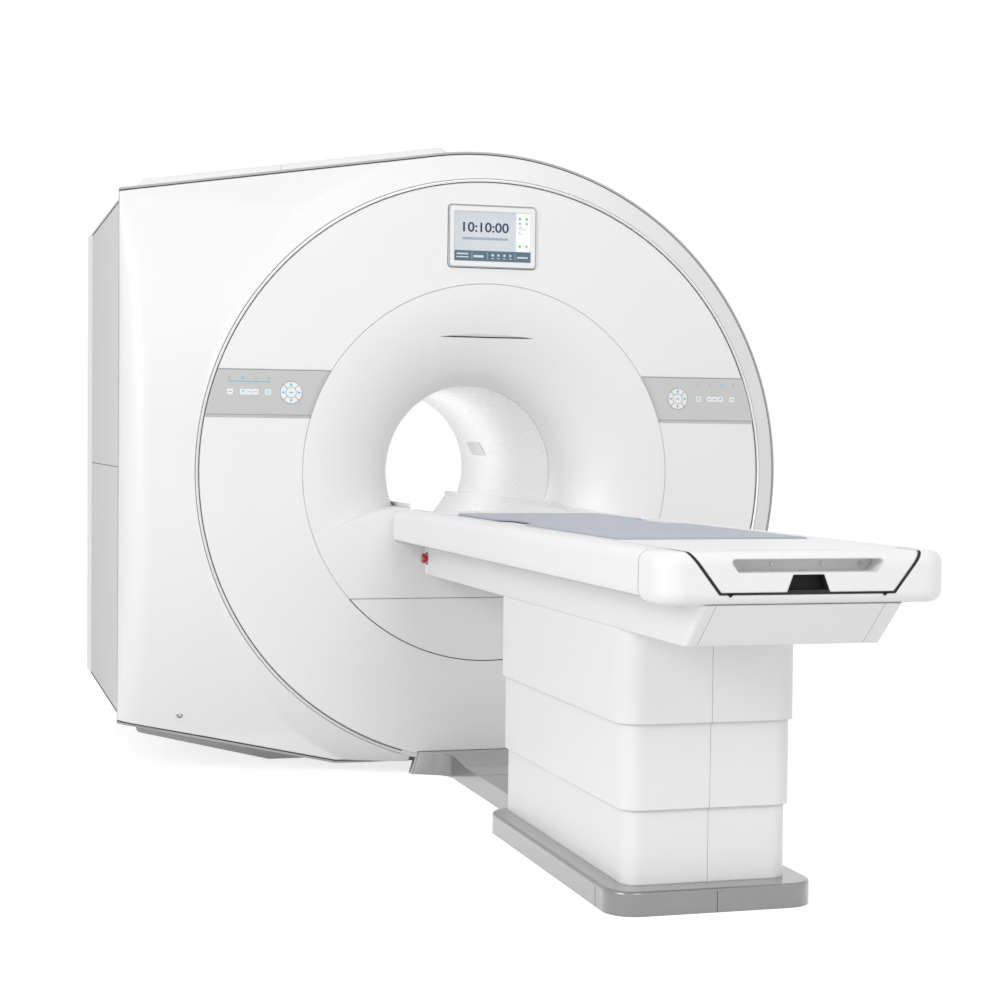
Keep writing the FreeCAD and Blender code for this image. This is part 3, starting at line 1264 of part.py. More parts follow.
def control_pieces():
    """Display, both control panels and their keys; the left side mirrors the right."""
    pieces = {"display_bezel": display_bezel(), "display_screen": display_screen()}
    right = {
        "control_panel": control_panel(),
        "inner_key": square_key(SQUARE_KEY_INNER),
        "outer_key": square_key(SQUARE_KEY_OUTER),
        "pad_ring": pad_ring(),
        "pad_key": pad_key(),
    }
    for number, x in enumerate(strip_places(), 1):
        right["strip_key_%d" % number] = square_key(x)
    for name, shape in right.items():
        pieces["right_" + name] = shape
        pieces["left_" + name] = mirrored(shape)
    return pieces


def table_pieces():
    """Table, its lift column and what stands on the floor under it."""
    left_fascia, right_fascia, foot_end_cap = table_shell_parts()
    tray, tray_end_cap = tray_parts()
    stop = emergency_stop()
    return {
        "tabletop": tabletop(),
        "body_mat": body_mat(),
        "foot_mat": foot_mat(),
        "left_fascia": left_fascia,
        "right_fascia": right_fascia,
        "foot_end_cap": foot_end_cap,
        "table_tray": tray,
        "tray_end_cap": tray_end_cap,
        "table_rails": table_rails(),
        "table_drive": table_drive(),
        "left_emergency_stop": mirrored(stop),
        "right_emergency_stop": stop,
        "upper_shroud": shroud(0, UPPER_SHROUD_BOTTOM, TRAY_BOTTOM),
        "middle_shroud": shroud(1, MIDDLE_SHROUD_BOTTOM, MIDDLE_COLUMN_TOP - CARRIER_PLATE),
        "lower_shroud": shroud(2, BASE_HEIGHT, MIDDLE_SHROUD_BOTTOM + SHROUD_LAP),
        "upper_column": upper_column(),
        "middle_column": middle_column(),
        "lift_base": lift_base(),
        "base_cover": base_cover(),
        "bridge_cover": bridge_cover(),
        "docking_frame": docking_frame(),
    }


def main():
    """Builds every piece and writes one file for each."""
    os.makedirs("parts", exist_ok=True)
    pieces = {**gantry_pieces(), **control_pieces(), **table_pieces()}
    for name, shape in pieces.items():
        shape.exportStep("parts/%s.step" % name)
        print("%-22s solids %d  volume %.0f cm3" % (name, len(shape.Solids), shape.Volume / 1000))
    print("pieces", len(pieces))


main()
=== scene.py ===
"""Looks of a magnetic resonance scanner with its patient table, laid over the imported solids.

Everything is in metres. X runs to the right seen from the foot of the table, Y along the bore away from
the foot of the table, and Z up. The origin is on the floor below the middle of the bore.
"""
import json
import math

import bmesh
import bpy
import numpy as np
from mathutils import Matrix, Vector


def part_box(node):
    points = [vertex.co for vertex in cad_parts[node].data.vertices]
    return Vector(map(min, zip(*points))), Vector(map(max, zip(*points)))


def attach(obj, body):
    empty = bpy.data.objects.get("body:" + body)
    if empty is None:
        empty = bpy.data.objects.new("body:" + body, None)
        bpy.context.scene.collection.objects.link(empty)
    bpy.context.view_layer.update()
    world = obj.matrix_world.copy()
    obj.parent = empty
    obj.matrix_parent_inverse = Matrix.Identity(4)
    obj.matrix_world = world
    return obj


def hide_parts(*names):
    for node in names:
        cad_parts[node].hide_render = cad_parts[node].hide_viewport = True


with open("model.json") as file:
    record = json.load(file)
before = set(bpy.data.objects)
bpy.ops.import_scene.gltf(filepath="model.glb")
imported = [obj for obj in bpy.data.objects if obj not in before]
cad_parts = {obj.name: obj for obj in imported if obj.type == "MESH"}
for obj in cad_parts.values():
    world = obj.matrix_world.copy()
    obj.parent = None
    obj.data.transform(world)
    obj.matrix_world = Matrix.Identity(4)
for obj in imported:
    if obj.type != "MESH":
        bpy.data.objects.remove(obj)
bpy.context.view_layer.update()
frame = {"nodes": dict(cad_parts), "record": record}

bl_info = {
    "name": "Magnetic resonance scanner looks",
    "version": (1, 0, 0),
    "blender": (4, 5, 0),
    "location": "3D View > Sidebar > Scanner",
    "description": "Finishes, mats, display page, key marks and small fittings of a scanner and its table",
    "category": "Object",
}

MM = 0.001
# Directions: across, along the bore, up, and forwards to the foot of the table
RIGHT = (1, 0, 0)
LEFT = (-1, 0, 0)
ALONG = (0, 1, 0)
UP = (0, 0, 1)
FORWARD = (0, -1, 0)
FRONT_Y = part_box("front_disc")[0].y
BORE_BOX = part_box("bore_liner")
ISO_Z = (BORE_BOX[0].z + BORE_BOX[1].z) / 2
TOP_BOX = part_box("tabletop")
TABLE_TOP = TOP_BOX[1].z
# How far black seals, dark strips of painted shade, seam lines, fine lines and hairlines stand over the
# surface that they are laid on
SEAL_AND_SHADE_RISE = 0.4 * MM
SEAM_RISE = 0.3 * MM
LINE_RISE = 0.25 * MM
HAIR_RISE = 0.2 * MM
# The share of such a rise that the same piece also reaches below that surface
BEDDED = 0.2
# Patterns of the finishes: faint clouds, the streaks of a brushed ring and the cells of the vinyl's grain
CLOUD_MM = 240.0
STREAK_MM = 1.1
CELL_MM = 2.2
# Noise stays between these values nearly everywhere
NOISE_SPAN = {"From Min": 0.3, "From Max": 0.7}
# Finishes made so far, by record slot or, for those that only the looks have, by a slot name of their own
MATERIALS = {}


def box_of(name):
    """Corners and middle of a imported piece's box."""
    low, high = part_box(name)
    return low, high, (low + high) / 2


def linear(hex_code):
    """Linear colour of an sRGB hex code: a channel c becomes ((c + 0.055) / 1.055) to the power 2.4,
    or c / 12.92 where it is at most 0.04045."""
    channel = np.array([int(hex_code[start:start + 2], 16) for start in (0, 2, 4)]) / 255
    bright = ((channel + 0.055) / 1.055) ** 2.4
    return tuple(np.where(channel <= 0.04045, channel / 12.92, bright).tolist())


def colour_property(title, hex_code, told):
    """One colour that a user can change, with its default written as an sRGB hex code."""
    return bpy.props.FloatVectorProperty(name=title, description=told, subtype="COLOR", size=3,
                                         min=0, max=1, default=linear(hex_code))


def length_property(title, metres, told):
    """One length that a user can change."""
    return bpy.props.FloatProperty(name=title, description=told, default=metres, min=0,
                                   subtype="DISTANCE", unit="LENGTH")


def angle_property(title, degrees, told):
    """One angle that a user can change."""
    return bpy.props.FloatProperty(name=title, description=told, default=math.radians(degrees),
                                   subtype="ANGLE")


class ScannerFinishes(bpy.types.PropertyGroup):
    """Colours of the scanner's finishes."""

    cover: colour_property("Covers", "F2F2F2", "Gel coat of the moulded covers")
    side: colour_property("Side panels", "E2E2E2", "Powder coat of the flat side panels")
    trim: colour_property("Edge trim", "B9B9B9", "Moulded edging behind the front cover")
    ring: colour_property("Accent ring", "E4E4E4", "Anodised ring round the front disc")
    base: colour_property("Foot covers", "8D8D8D", "Silver lacquer of the covers on the floor")
    panel: colour_property("Control panels", "C2C2C2", "Silver lacquer of the control panels")
    key: colour_property("Keys", "F2F2F2", "Moulded keys and display frame")
    mat: colour_property("Mats", "A9AFBE", "Vinyl of the mats")
    stop: colour_property("Emergency stops", "C4141B", "Red nylon of the stop buttons")
    mark: colour_property("Key marks", "0AC0D6", "Printed marks on the keys")
    # Both seam colours are painted shade: a dark one for seams that show dark, and its lit, soft grey copy
    # for seams that light reaches
    seam_shade: colour_property("Gaskets", "3C3C3C", "Rubber in the seams that show dark")
    soft_seam_shade: colour_property("Fine seams", "909090", "Rubber in the seams that show as a soft line")
    page: colour_property("Display page", "CBD1D6", "Lit field of the display")
    bar: colour_property("Display bar", "4F6A7C", "Bar at the foot of the display page")


class ScannerSizes(bpy.types.PropertyGroup):
    """Sizes of the small fittings that the looks add."""

    # Width of the dark strips of painted shade laid in the seams
    seam: length_property("Seam width", 2.2 * MM, "Width of the dark gasket that shows in a seam")
    gap_strip: length_property("Top gap strip", 3.4 * MM, "Width of the black strip round the sliding top")
    mat_swell: length_property("Mat swell", 2.5 * MM, "Most that the filling lifts a mat's vinyl")
    mat_cell: length_property("Mat cell", 14 * MM, "Grid of the mats before the cloth settles")


class ScannerStage(bpy.types.PropertyGroup):
    """Camera and light."""

    lens: bpy.props.FloatProperty(name="Lens", description="Focal length of the camera", default=70.34,
                                  min=1, subtype="DISTANCE_CAMERA")
    yaw: angle_property("Turn", 16.051, "Turn of the camera to the right")
    pitch: angle_property("Tilt", 1.706, "Tilt of the camera downwards")
    roll: angle_property("Roll", 0.563, "Roll of the camera")
    place: bpy.props.FloatVectorProperty(name="Camera place", description="Where the camera stands",
                                         default=(-1.789, -7.229, 1.118), subtype="XYZ", unit="LENGTH")
    room_light: bpy.props.FloatProperty(name="Room light", default=0.64, min=0,
                                        description="Strength of the even light from all sides")


# ---------------------------------------------------------------- materials

def add_node(tree, kind, settings=None, links=None):
    """Adds a shader node, sets its properties and sockets, and joins other nodes' outputs to its inputs."""
    node = tree.nodes.new("ShaderNode" + kind)
    for name, value in (settings or {}).items():
        if isinstance(name, str) and hasattr(node, name):
            setattr(node, name, value)
        else:
            node.inputs[name].default_value = value
    for name, output in (links or {}).items():
        tree.links.new(output, node.inputs[name])
    return node


def start_material(name):
    """Empty material with its output and an Object coordinate source."""
    material = bpy.data.materials.new(name)
    material.use_nodes = True
    tree = material.node_tree
    tree.nodes.clear()
    output = add_node(tree, "OutputMaterial")
    place = add_node(tree, "TexCoord").outputs["Object"]
    return material, tree, output, place


def shade(colour, factor):
    """The same colour, lighter or darker by a factor."""
    return tuple(min(1.0, channel * factor) for channel in colour[:3]) + (1.0,)


def surface(name, colour, roughness, grain_mm, relief_mm, cloud=0.05, stretch=(1, 1, 1), edge_mm=0,
            **shader):
    """Finish with wide faint clouds in its colour, a fine grain in its gloss and a shallow relief of it.

    The clouds are what handling and cleaning leave. An edge size in millimetres softens the creases of a
    moulding. Further settings of the shader are given by their names in small letters.
    """
    material, tree, output, place = start_material(name)
    clouds = add_node(tree, "TexNoise", {"Scale": 1000 / CLOUD_MM, "Detail": 3.0}, {"Vector": place})
    tint = add_node(tree, "Mix", {"data_type": "RGBA", 6: shade(colour, 1 - cloud), 7: shade(colour, 1)},
                    {0: clouds.outputs["Fac"]})
    drawn = add_node(tree, "Mapping", {"Scale": stretch}, {"Vector": place})
    grain = add_node(tree, "TexNoise", {"Scale": 1000 / grain_mm, "Detail": 3.0},
                     {"Vector": drawn.outputs[0]})
    gloss = add_node(tree, "MapRange",
                     {**NOISE_SPAN, "To Min": roughness * 0.88, "To Max": roughness * 1.12},
                     {"Value": grain.outputs["Fac"]})
    relief = add_node(tree, "Bump", {"Strength": 0.5, "Distance": relief_mm * MM},
                      {"Height": grain.outputs["Fac"]})
    if edge_mm:
        rounded = add_node(tree, "Bevel", {"samples": 4, "Radius": edge_mm * MM})
        tree.links.new(rounded.outputs[0], relief.inputs["Normal"])
    settings = {key.replace("_", " ").title().replace("Ior", "IOR"): value for key, value in shader.items()}
    body = add_node(tree, "BsdfPrincipled", settings, {
        "Base Color": tint.outputs[2], "Roughness": gloss.outputs[0], "Normal": relief.outputs[0]})
    tree.links.new(body.outputs[0], output.inputs[0])
    return material


def make_finishes(colours):
    """Every finish by the record's material slot, each started from what the real surface is, apart from the
    two seam finishes, which are painted shade.
    """
    return {
        # Polyester gel coat over glass fibre, polished: smooth, with the faint orange peel of the mould
        "white_cover": surface("Gel_coat_white_satin", colours.cover, 0.40, 2.6, 0.020, cloud=0.03,
                               edge_mm=5, coat_weight=0.10, coat_roughness=0.28),
        # Sheet steel under powder coat: a slightly coarser peel than the mouldings and a flatter gloss
        "side_grey": surface("Powder_coat_pale_grey", colours.side, 0.72, 1.8, 0.030, cloud=0.04,
                             specular_ior_level=0.15),
        # Moulded PVC edging: dull, with a fine eroded grain
        "trim_grey": surface("Moulded_PVC_edging", colours.trim, 0.52, 1.2, 0.030, cloud=0.06),
        # Rolled aluminium, brushed along its length and anodised: streaks drawn out along the ring
        "ring_metal": brushed_ring("Anodised_aluminium_brushed", colours.ring, 0.34),
        # Silver lacquer on moulded covers that shoes and wheels touch: metal flake and light scuffs
        "base_grey": surface("Silver_lacquer_satin", colours.base, 0.30, 0.9, 0.018, cloud=0.10, edge_mm=4,
                             metallic=0.85, coat_weight=1.0, coat_roughness=0.06),
        # Finer silver lacquer on the control panels: hardly any relief, flake only
        "panel_silver": surface("Silver_lacquer_fine", colours.panel, 0.38, 0.8, 0.010, cloud=0.04,
                                metallic=0.45),
        # Moulded ABS keys: matt, with the grain that spark erosion leaves in the mould
        "key_white": surface("Moulded_ABS_white", colours.key, 0.45, 0.7, 0.015, cloud=0.02),
        # Liquid crystal page behind cover glass: evenly lit and glossy
        "screen": lit_page("Lit_display_page", colours.page),
        # Glossy moulded nylon of the stop buttons
        "stop_red": surface("Gloss_nylon_red", colours.stop, 0.22, 1.5, 0.008, cloud=0.05, coat_weight=0.4),
        # Vinyl on foam, embossed with a fine leather grain
        "mat_grey": vinyl("Vinyl_on_foam_grey", colours.mat),
        # Paint on rolled and welded steel
        "vessel_steel": surface("Painted_steel_pale", linear("D2D5D8"), 0.4, 3.0, 0.04, cloud=0.05),
        # Copper windings, drawn out round the former
        "winding_copper": brushed_ring("Copper_windings", linear("B87952"), 0.35),
        # Cast epoxy resin of the coils
        "coil_resin": surface("Cast_epoxy_resin_green", linear("3E5249"), 0.35, 4.0, 0.05, cloud=0.12),
        # Glossy laminate of the patient tube, wiped clean
        "liner_white": surface("Gloss_laminate_white", colours.cover, 0.26, 6.0, 0.010, cloud=0.02,
                               coat_weight=0.2),
        # Drawn and anodised aluminium tube, with its die lines along its height
        "column_metal": surface("Anodised_tube_aluminium", linear("C2C4C8"), 0.36, 1.4, 0.010,
                                stretch=(1, 1, 0.05), metallic=1.0),
        # Ground and oiled steel, with its grinding marks along the bore
        "steel": surface("Ground_steel", linear("B4B6B8"), 0.33, 1.2, 0.012, stretch=(1, 0.05, 1),
                         metallic=1.0),
        # Matt belt rubber
        "belt_black": surface("Belt_rubber_black", linear("1B1B1C"), 0.75, 2.0, 0.05, cloud=0.15),
        # Painted shade: dark, dull strips laid in the seams of the covers where shade falls
        "seam": surface("Painted_seam_shade_dark", colours.seam_shade, 0.72, 1.6, 0.03, cloud=0.12),
        # The same painted shade, lit and lighter, where light reaches between two pale covers: a soft grey
        # line
        "soft_seam_shade": surface("Painted_seam_shade_grey", colours.soft_seam_shade, 0.70, 1.6, 0.02, cloud=0.08),
        # Printed marks of the keys: ink under clear lacquer
        "mark": surface("Printed_ink_cyan", colours.mark, 0.40, 0.6, 0.004, cloud=0.04),
        # Fields of the page: the same lit panel, coloured
        "page_bar": lit_page("Lit_page_slate", colours.bar),
        "page_pale": lit_page("Lit_page_pale", linear("F4F6F8")),
        "page_green": lit_page("Lit_page_green", linear("55C41E")),
        "page_grey": lit_page("Lit_page_grey", linear("9AA7B2")),
        "page_light": lit_page("Lit_page_light", linear("D5DDE3")),
        "page_ink": lit_page("Lit_page_ink", linear("12304A")),
    }


def finishes():
    """Materials by record slot, made once."""
    if not MATERIALS:
        MATERIALS.update(make_finishes(bpy.context.scene.scanner_finishes))
    return MATERIALS


def brushed_ring(name, colour, roughness):
    """Metal brushed round the bore's axis: noise read along the distance from that axis only."""
    material, tree, output, place = start_material(name)
    centred = add_node(tree, "Mapping", {"Location": (0, 0, -ISO_Z), "Scale": (1, 0, 1)}, {"Vector": place})
    distance = add_node(tree, "VectorMath", {"operation": "LENGTH"}, {0: centred.outputs[0]})
    fine = {"noise_dimensions": "1D", "Scale": 1000 / STREAK_MM, "Detail": 3.0}
    streaks = add_node(tree, "TexNoise", fine, {"W": distance.outputs["Value"]})
    clouds = add_node(tree, "TexNoise", {"Scale": 1000 / CLOUD_MM, "Detail": 2.0}, {"Vector": place})
    tint = add_node(tree, "Mix", {"data_type": "RGBA", 6: shade(colour, 0.90), 7: shade(colour, 1.06)},
                    {0: clouds.outputs["Fac"]})
    gloss = add_node(tree, "MapRange",
                     {**NOISE_SPAN, "To Min": roughness * 0.8, "To Max": roughness * 1.25},
                     {"Value": streaks.outputs["Fac"]})
    relief = add_node(tree, "Bump", {"Strength": 0.4, "Distance": 0.012 * MM},
                      {"Height": streaks.outputs["Fac"]})
    body = add_node(tree, "BsdfPrincipled", {"Metallic": 1.0}, {
        "Base Color": tint.outputs[2], "Roughness": gloss.outputs[0], "Normal": relief.outputs[0]})
    tree.links.new(body.outputs[0], output.inputs[0])
    return material


def lit_page(name, colour):
    """Lit page under glass, a little brighter in the middle than at its rim, as a side-lit panel is."""
    material, tree, output, place = start_material(name)
    low, high, middle = box_of("display_screen")
    centred = add_node(tree, "Mapping", {"vector_type": "TEXTURE", "Location": tuple(middle),
                                         "Scale": (high.x - low.x, 1, high.z - low.z)}, {"Vector": place})
    distance = add_node(tree, "VectorMath", {"operation": "LENGTH"}, {0: centred.outputs[0]})
    fade = add_node(tree, "MapRange", {"From Min": 0.2, "From Max": 0.7, "To Min": 0.0, "To Max": 1.0},
                    {"Value": distance.outputs["Value"]})
    tint = add_node(tree, "Mix", {"data_type": "RGBA", 6: shade(colour, 1.03), 7: shade(colour, 0.93)},
                    {0: fade.outputs[0]})
    glass = {"Roughness": 0.16, "Emission Strength": 0.12, "Coat Weight": 0.3, "Coat Roughness": 0.05}
    body = add_node(tree, "BsdfPrincipled", glass,
                    {"Base Color": tint.outputs[2], "Emission Color": tint.outputs[2]})
    tree.links.new(body.outputs[0], output.inputs[0])
    return material


def vinyl(name, colour):
    """Vinyl with a leather grain: cells a little coarser than real, so that they show, and painted shade in
    the creases between them.
    """
    material, tree, output, place = start_material(name)
    cells = add_node(tree, "TexVoronoi", {"feature": "DISTANCE_TO_EDGE", "Scale": 1000 / CELL_MM},
                     {"Vector": place})
    crease = add_node(tree, "MapRange", {"From Min": 0.0, "From Max": 0.12},
                      {"Value": cells.outputs["Distance"]})
    clouds = add_node(tree, "TexNoise", {"Scale": 3000 / CLOUD_MM, "Detail": 4.0}, {"Vector": place})
    tint = add_node(tree, "Mix", {"data_type": "RGBA", 6: shade(colour, 0.92), 7: shade(colour, 1.06)},
                    {0: clouds.outputs["Fac"]})
    # The creases between the cells are painted darker: painted shade
    shaded = add_node(tree, "Mix", {"data_type": "RGBA", 6: shade(colour, 0.88)},
                      {0: crease.outputs[0], 7: tint.outputs[2]})
    relief = add_node(tree, "Bump", {"Strength": 0.35, "Distance": 0.12 * MM},
                      {"Height": crease.outputs[0]})
    gloss = add_node(tree, "MapRange", {**NOISE_SPAN, "To Min": 0.46, "To Max": 0.58},
                     {"Value": clouds.outputs["Fac"]})
    body = add_node(tree, "BsdfPrincipled", {"Sheen Weight": 0.15, "Sheen Roughness": 0.4}, {
        "Base Color": shaded.outputs[2], "Roughness": gloss.outputs[0], "Normal": relief.outputs[0]})
    tree.links.new(body.outputs[0], output.inputs[0])
    return material


# ---------------------------------------------------------------- meshes

def face_outwards(mesh, merge=0):
    """Turns every face of a closed mesh outwards, after its points within a distance are made one."""
    work = bmesh.new()
    work.from_mesh(mesh)
    if merge:
        bmesh.ops.remove_doubles(work, verts=work.verts, dist=merge)
    bmesh.ops.recalc_face_normals(work, faces=work.faces)
    work.to_mesh(mesh)
    work.free()


def add_piece(name, parts, finish, body="gantry", smooth=False):
    """New piece from one or more closed parts, its place in its mesh, riding on a CAD body."""
    points, faces = joined(parts)
    mesh = bpy.data.meshes.new(name)
    mesh.from_pydata(points.tolist(), [], faces)
    face_outwards(mesh)
    if smooth:
        mesh.shade_smooth()
    return place_piece(name, mesh, finish, body)


def place_piece(name, mesh, finish, body):
    """Object of a finished mesh, with its finish, on a CAD body."""
    mesh.materials.append(finishes()[finish])
    piece = bpy.data.objects.new(name, mesh)
    bpy.context.scene.collection.objects.link(piece)
    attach(piece, body)
    return piece


def joined(parts):
    """Points and faces of several parts as one list each: faces are raised by the points before them."""
    points, faces, count = [], [], 0
    for part_points, part_faces in parts:
        points.append(np.asarray(part_points, float))
        faces += [tuple(index + count for index in face) for face in part_faces]
        count += len(part_points)
    return np.concatenate(points), faces


def grid_faces(rows, columns, closed_rows):
    """Four-sided faces of a grid whose columns run round a section; an open grid gets both end faces."""
    i, j = np.meshgrid(np.arange(rows if closed_rows else rows - 1), np.arange(columns), indexing="ij")
    i, j = i.ravel(), j.ravel()
    below, right = (i + 1) % rows, (j + 1) % columns
    quads = [i * columns + j, i * columns + right, below * columns + right, below * columns + j]
    faces = [tuple(face) for face in np.column_stack(quads).tolist()]
    if not closed_rows:
        faces += [tuple(range(columns))[::-1], tuple((rows - 1) * columns + k for k in range(columns))]
    return faces


def bar(path, across, out, width, height, closed=False):
    """Bar of rectangular section along a path on a surface.

    Corner k of ring i is path_i + s_k width across_i + r_k height out_i, with s = -1/2, 1/2, 1/2, -1/2 and
    r = -BEDDED, -BEDDED, 1, 1.
    """
    path = np.asarray(path, float)
    across = np.broadcast_to(np.asarray(across, float), path.shape)
    out = np.broadcast_to(np.asarray(out, float), path.shape)
    side = np.array([-0.5, 0.5, 0.5, -0.5]) * width
    rise = np.array([-BEDDED, -BEDDED, 1.0, 1.0]) * height
    points = path[:, None] + side[:, None] * across[:, None] + rise[:, None] * out[:, None]
    return points.reshape(-1, 3), grid_faces(len(path), 4, closed)


def straight(x, y, z):
    """Two ends of a straight line: the coordinate that changes along it is given as a pair."""
    return np.column_stack(np.broadcast_arrays(x, y, z))


def band(inner, outer, y, depth):
    """Flat band between two (x, z) lines with as many points each, from a place along the bore forwards."""
    inner, outer = np.asarray(inner, float), np.asarray(outer, float)
    near = np.broadcast_to(y, len(inner))
    corners = ((inner, near), (outer, near), (outer, near - depth), (inner, near - depth))
    rings = [np.column_stack([line[:, 0], place, line[:, 1]]) for line, place in corners]
    return np.stack(rings, axis=1).reshape(-1, 3), grid_faces(len(inner), 4, False)


def plate(outline, y, depth):
    """Flat plate from an (x, z) outline: its copy lies a depth nearer to the foot of the table."""
    flat = np.asarray(outline, float)
    count = len(flat)
    near = np.column_stack([flat[:, 0], np.full(count, y - depth), flat[:, 1]])
    far = near + np.array([0, depth, 0])
    sides = [(k, (k + 1) % count, (k + 1) % count + count, k + count) for k in range(count)]
    return np.concatenate([near, far]), sides + [tuple(range(count))[::-1], tuple(range(count, 2 * count))]


def rectangle(x, z, width, tall):
    """Corners of a rectangle round its middle."""
    return [(x - width / 2, z - tall / 2), (x + width / 2, z - tall / 2),
            (x + width / 2, z + tall / 2), (x - width / 2, z + tall / 2)]


def round_outline(x, z, radius, count=20):
    """Round (x, z) outline: x + r cos t, z + r sin t."""
    turn = np.linspace(0, 2 * math.pi, count, endpoint=False)
    return np.column_stack([x + radius * np.cos(turn), z + radius * np.sin(turn)])


def hoop(centre, radius, width, height, out=FORWARD, count=40):
    """Flat ring on a surface: a bar along centre + r (cos t u + sin t v), with u and v square to out."""
    out = np.asarray(out, float)
    turn = np.linspace(0, 2 * math.pi, count, endpoint=False)[:, None]
    spokes = np.cos(turn) * np.array(UP) + np.sin(turn) * np.cross(out, UP)
    return bar(np.asarray(centre) + radius * spokes, spokes, out, width, height, True)


def bore_spokes(turn):
    """Directions away from the bore's axis, by their angle from upright: (sin t, 0, cos t)."""
    return np.column_stack([np.sin(turn), np.zeros(len(turn)), np.cos(turn)])


def bore_arc(radius, start, end, y, width, height, count=96):
    """Flat band round the bore's axis on an upright face, between two angles from upright."""
    spokes = bore_spokes(np.linspace(start, end, count))
    return bar((0, y, ISO_Z) + radius * spokes, spokes, FORWARD, width, height)


# ---------------------------------------------------------------- mats

# Corner radius of a mat's outline, width of its rounded edge, and how far it stays inside its packed box
MAT_CORNER = 20 * MM
MAT_EDGE = 5 * MM
MAT_TRIM = 1 * MM
# How far the middle of the dark band of painted shadow under a mat's edge lies inside the mat's outline
SHADOW_BAND_SET = 1.2 * MM
CLOTH_FRAMES = 20
# Half widths of each mat at distances from the front of the housing; between them they run straight
MAT_WIDTHS = {
    "body_mat": ((0.870, 0.236), (0.930, 0.190), (1.180, 0.190), (1.240, 0.250)),
    "foot_mat": ((1.700, 0.250),),
}


def mat_plan(name, cell):
    """Rows along the bore and half widths of a mat, with rounded corners and, on the long mat, a waist.

    At a distance d from either end, for d below the corner radius r, the half width is less by
    r - sqrt(r r - (r - d)(r - d)).
    """
    low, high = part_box(name)
    length = high.y - low.y - 2 * MAT_TRIM
    ends = np.array([0, 0.12, 0.35, 0.7]) * MAT_CORNER
    middle = np.linspace(MAT_CORNER, length - MAT_CORNER, round((length - 2 * MAT_CORNER) / cell) + 1)
    rows = np.concatenate([ends, middle, length - ends[::-1]])
    along = low.y + MAT_TRIM + rows
    half = np.interp(FRONT_Y - along, *np.transpose(MAT_WIDTHS[name])) - MAT_TRIM
    near = np.minimum(np.minimum(rows, length - rows), MAT_CORNER)
    return along, half - (MAT_CORNER - np.sqrt(MAT_CORNER ** 2 - (MAT_CORNER - near) ** 2))


def pad_mesh(name, cell):
    """Closed mat before it settles: two sheets that meet at the rim.

    A point at a distance d from the rim is s t away from the mat's middle level, with s half its thickness
    and t = sqrt(1 - (1 - d / e)(1 - d / e)) within the edge e, and 1 further in.
    """
    low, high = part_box(name)
    along, half = mat_plan(name, cell)
    steps = np.array([0, 0.012, 0.032, 0.06])
    inner = np.linspace(-0.9, 0.9, round(2 * half.max() / cell) + 1)
    share = np.concatenate([steps - 1, inner, 1 - steps[::-1]])
    x = half[:, None] * share
    y = np.repeat(along[:, None], len(share), axis=1)
    from_side = half[:, None] * (1 - np.abs(share))
    from_end = np.minimum(y - along[0], along[-1] - y)
    depth = np.minimum(np.minimum(from_side, from_end), MAT_EDGE) / MAT_EDGE
    lift = (high.z - low.z) / 2 * np.sqrt(1 - (1 - depth) ** 2)
    level = (high.z + low.z) / 2
    above = np.stack([x, y, level + lift], axis=-1).reshape(-1, 3)
    below = np.stack([x, y, level - lift], axis=-1)[1:-1, 1:-1].reshape(-1, 3)
    upper = np.arange(x.size).reshape(x.shape)
    lower = upper.copy()
    lower[1:-1, 1:-1] = x.size + np.arange(len(below)).reshape(x.shape[0] - 2, x.shape[1] - 2)
    faces = []
    for sheet in (upper, lower):
        corners = [sheet[:-1, :-1], sheet[:-1, 1:], sheet[1:, 1:], sheet[1:, :-1]]
        faces += [tuple(face) for face in np.stack(corners, axis=-1).reshape(-1, 4).tolist()]
    return np.concatenate([above, below]), faces


def settle(piece, name, swell):
    """Swells a mat with cloth under inner pressure, holds every point within a cap and inside its bed."""
    cloth = piece.modifiers.new("filling", "CLOTH")
    cloth.settings.use_pressure = True
    cloth.settings.uniform_pressure_force = 4.0
    cloth.settings.effector_weights.gravity = 0.0
    for number in range(CLOTH_FRAMES):
        bpy.context.scene.frame_set(number + 1)
    settled = piece.evaluated_get(bpy.context.evaluated_depsgraph_get()).data
    count = len(piece.data.vertices)
    before, after = np.empty(3 * count), np.empty(3 * count)
    piece.data.vertices.foreach_get("co", before)
    settled.vertices.foreach_get("co", after)
    move = (after - before).reshape(-1, 3)
    move *= np.minimum(1, swell / np.maximum(np.linalg.norm(move, axis=1, keepdims=True), 1e-9))
    low, high = (np.array(corner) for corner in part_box(name))
    points = np.clip(before.reshape(-1, 3) + move, low, high + (0, 0, swell))
    piece.modifiers.remove(cloth)
    piece.data.vertices.foreach_set("co", points.ravel())
    piece.data.update()
    bpy.context.scene.frame_set(1)


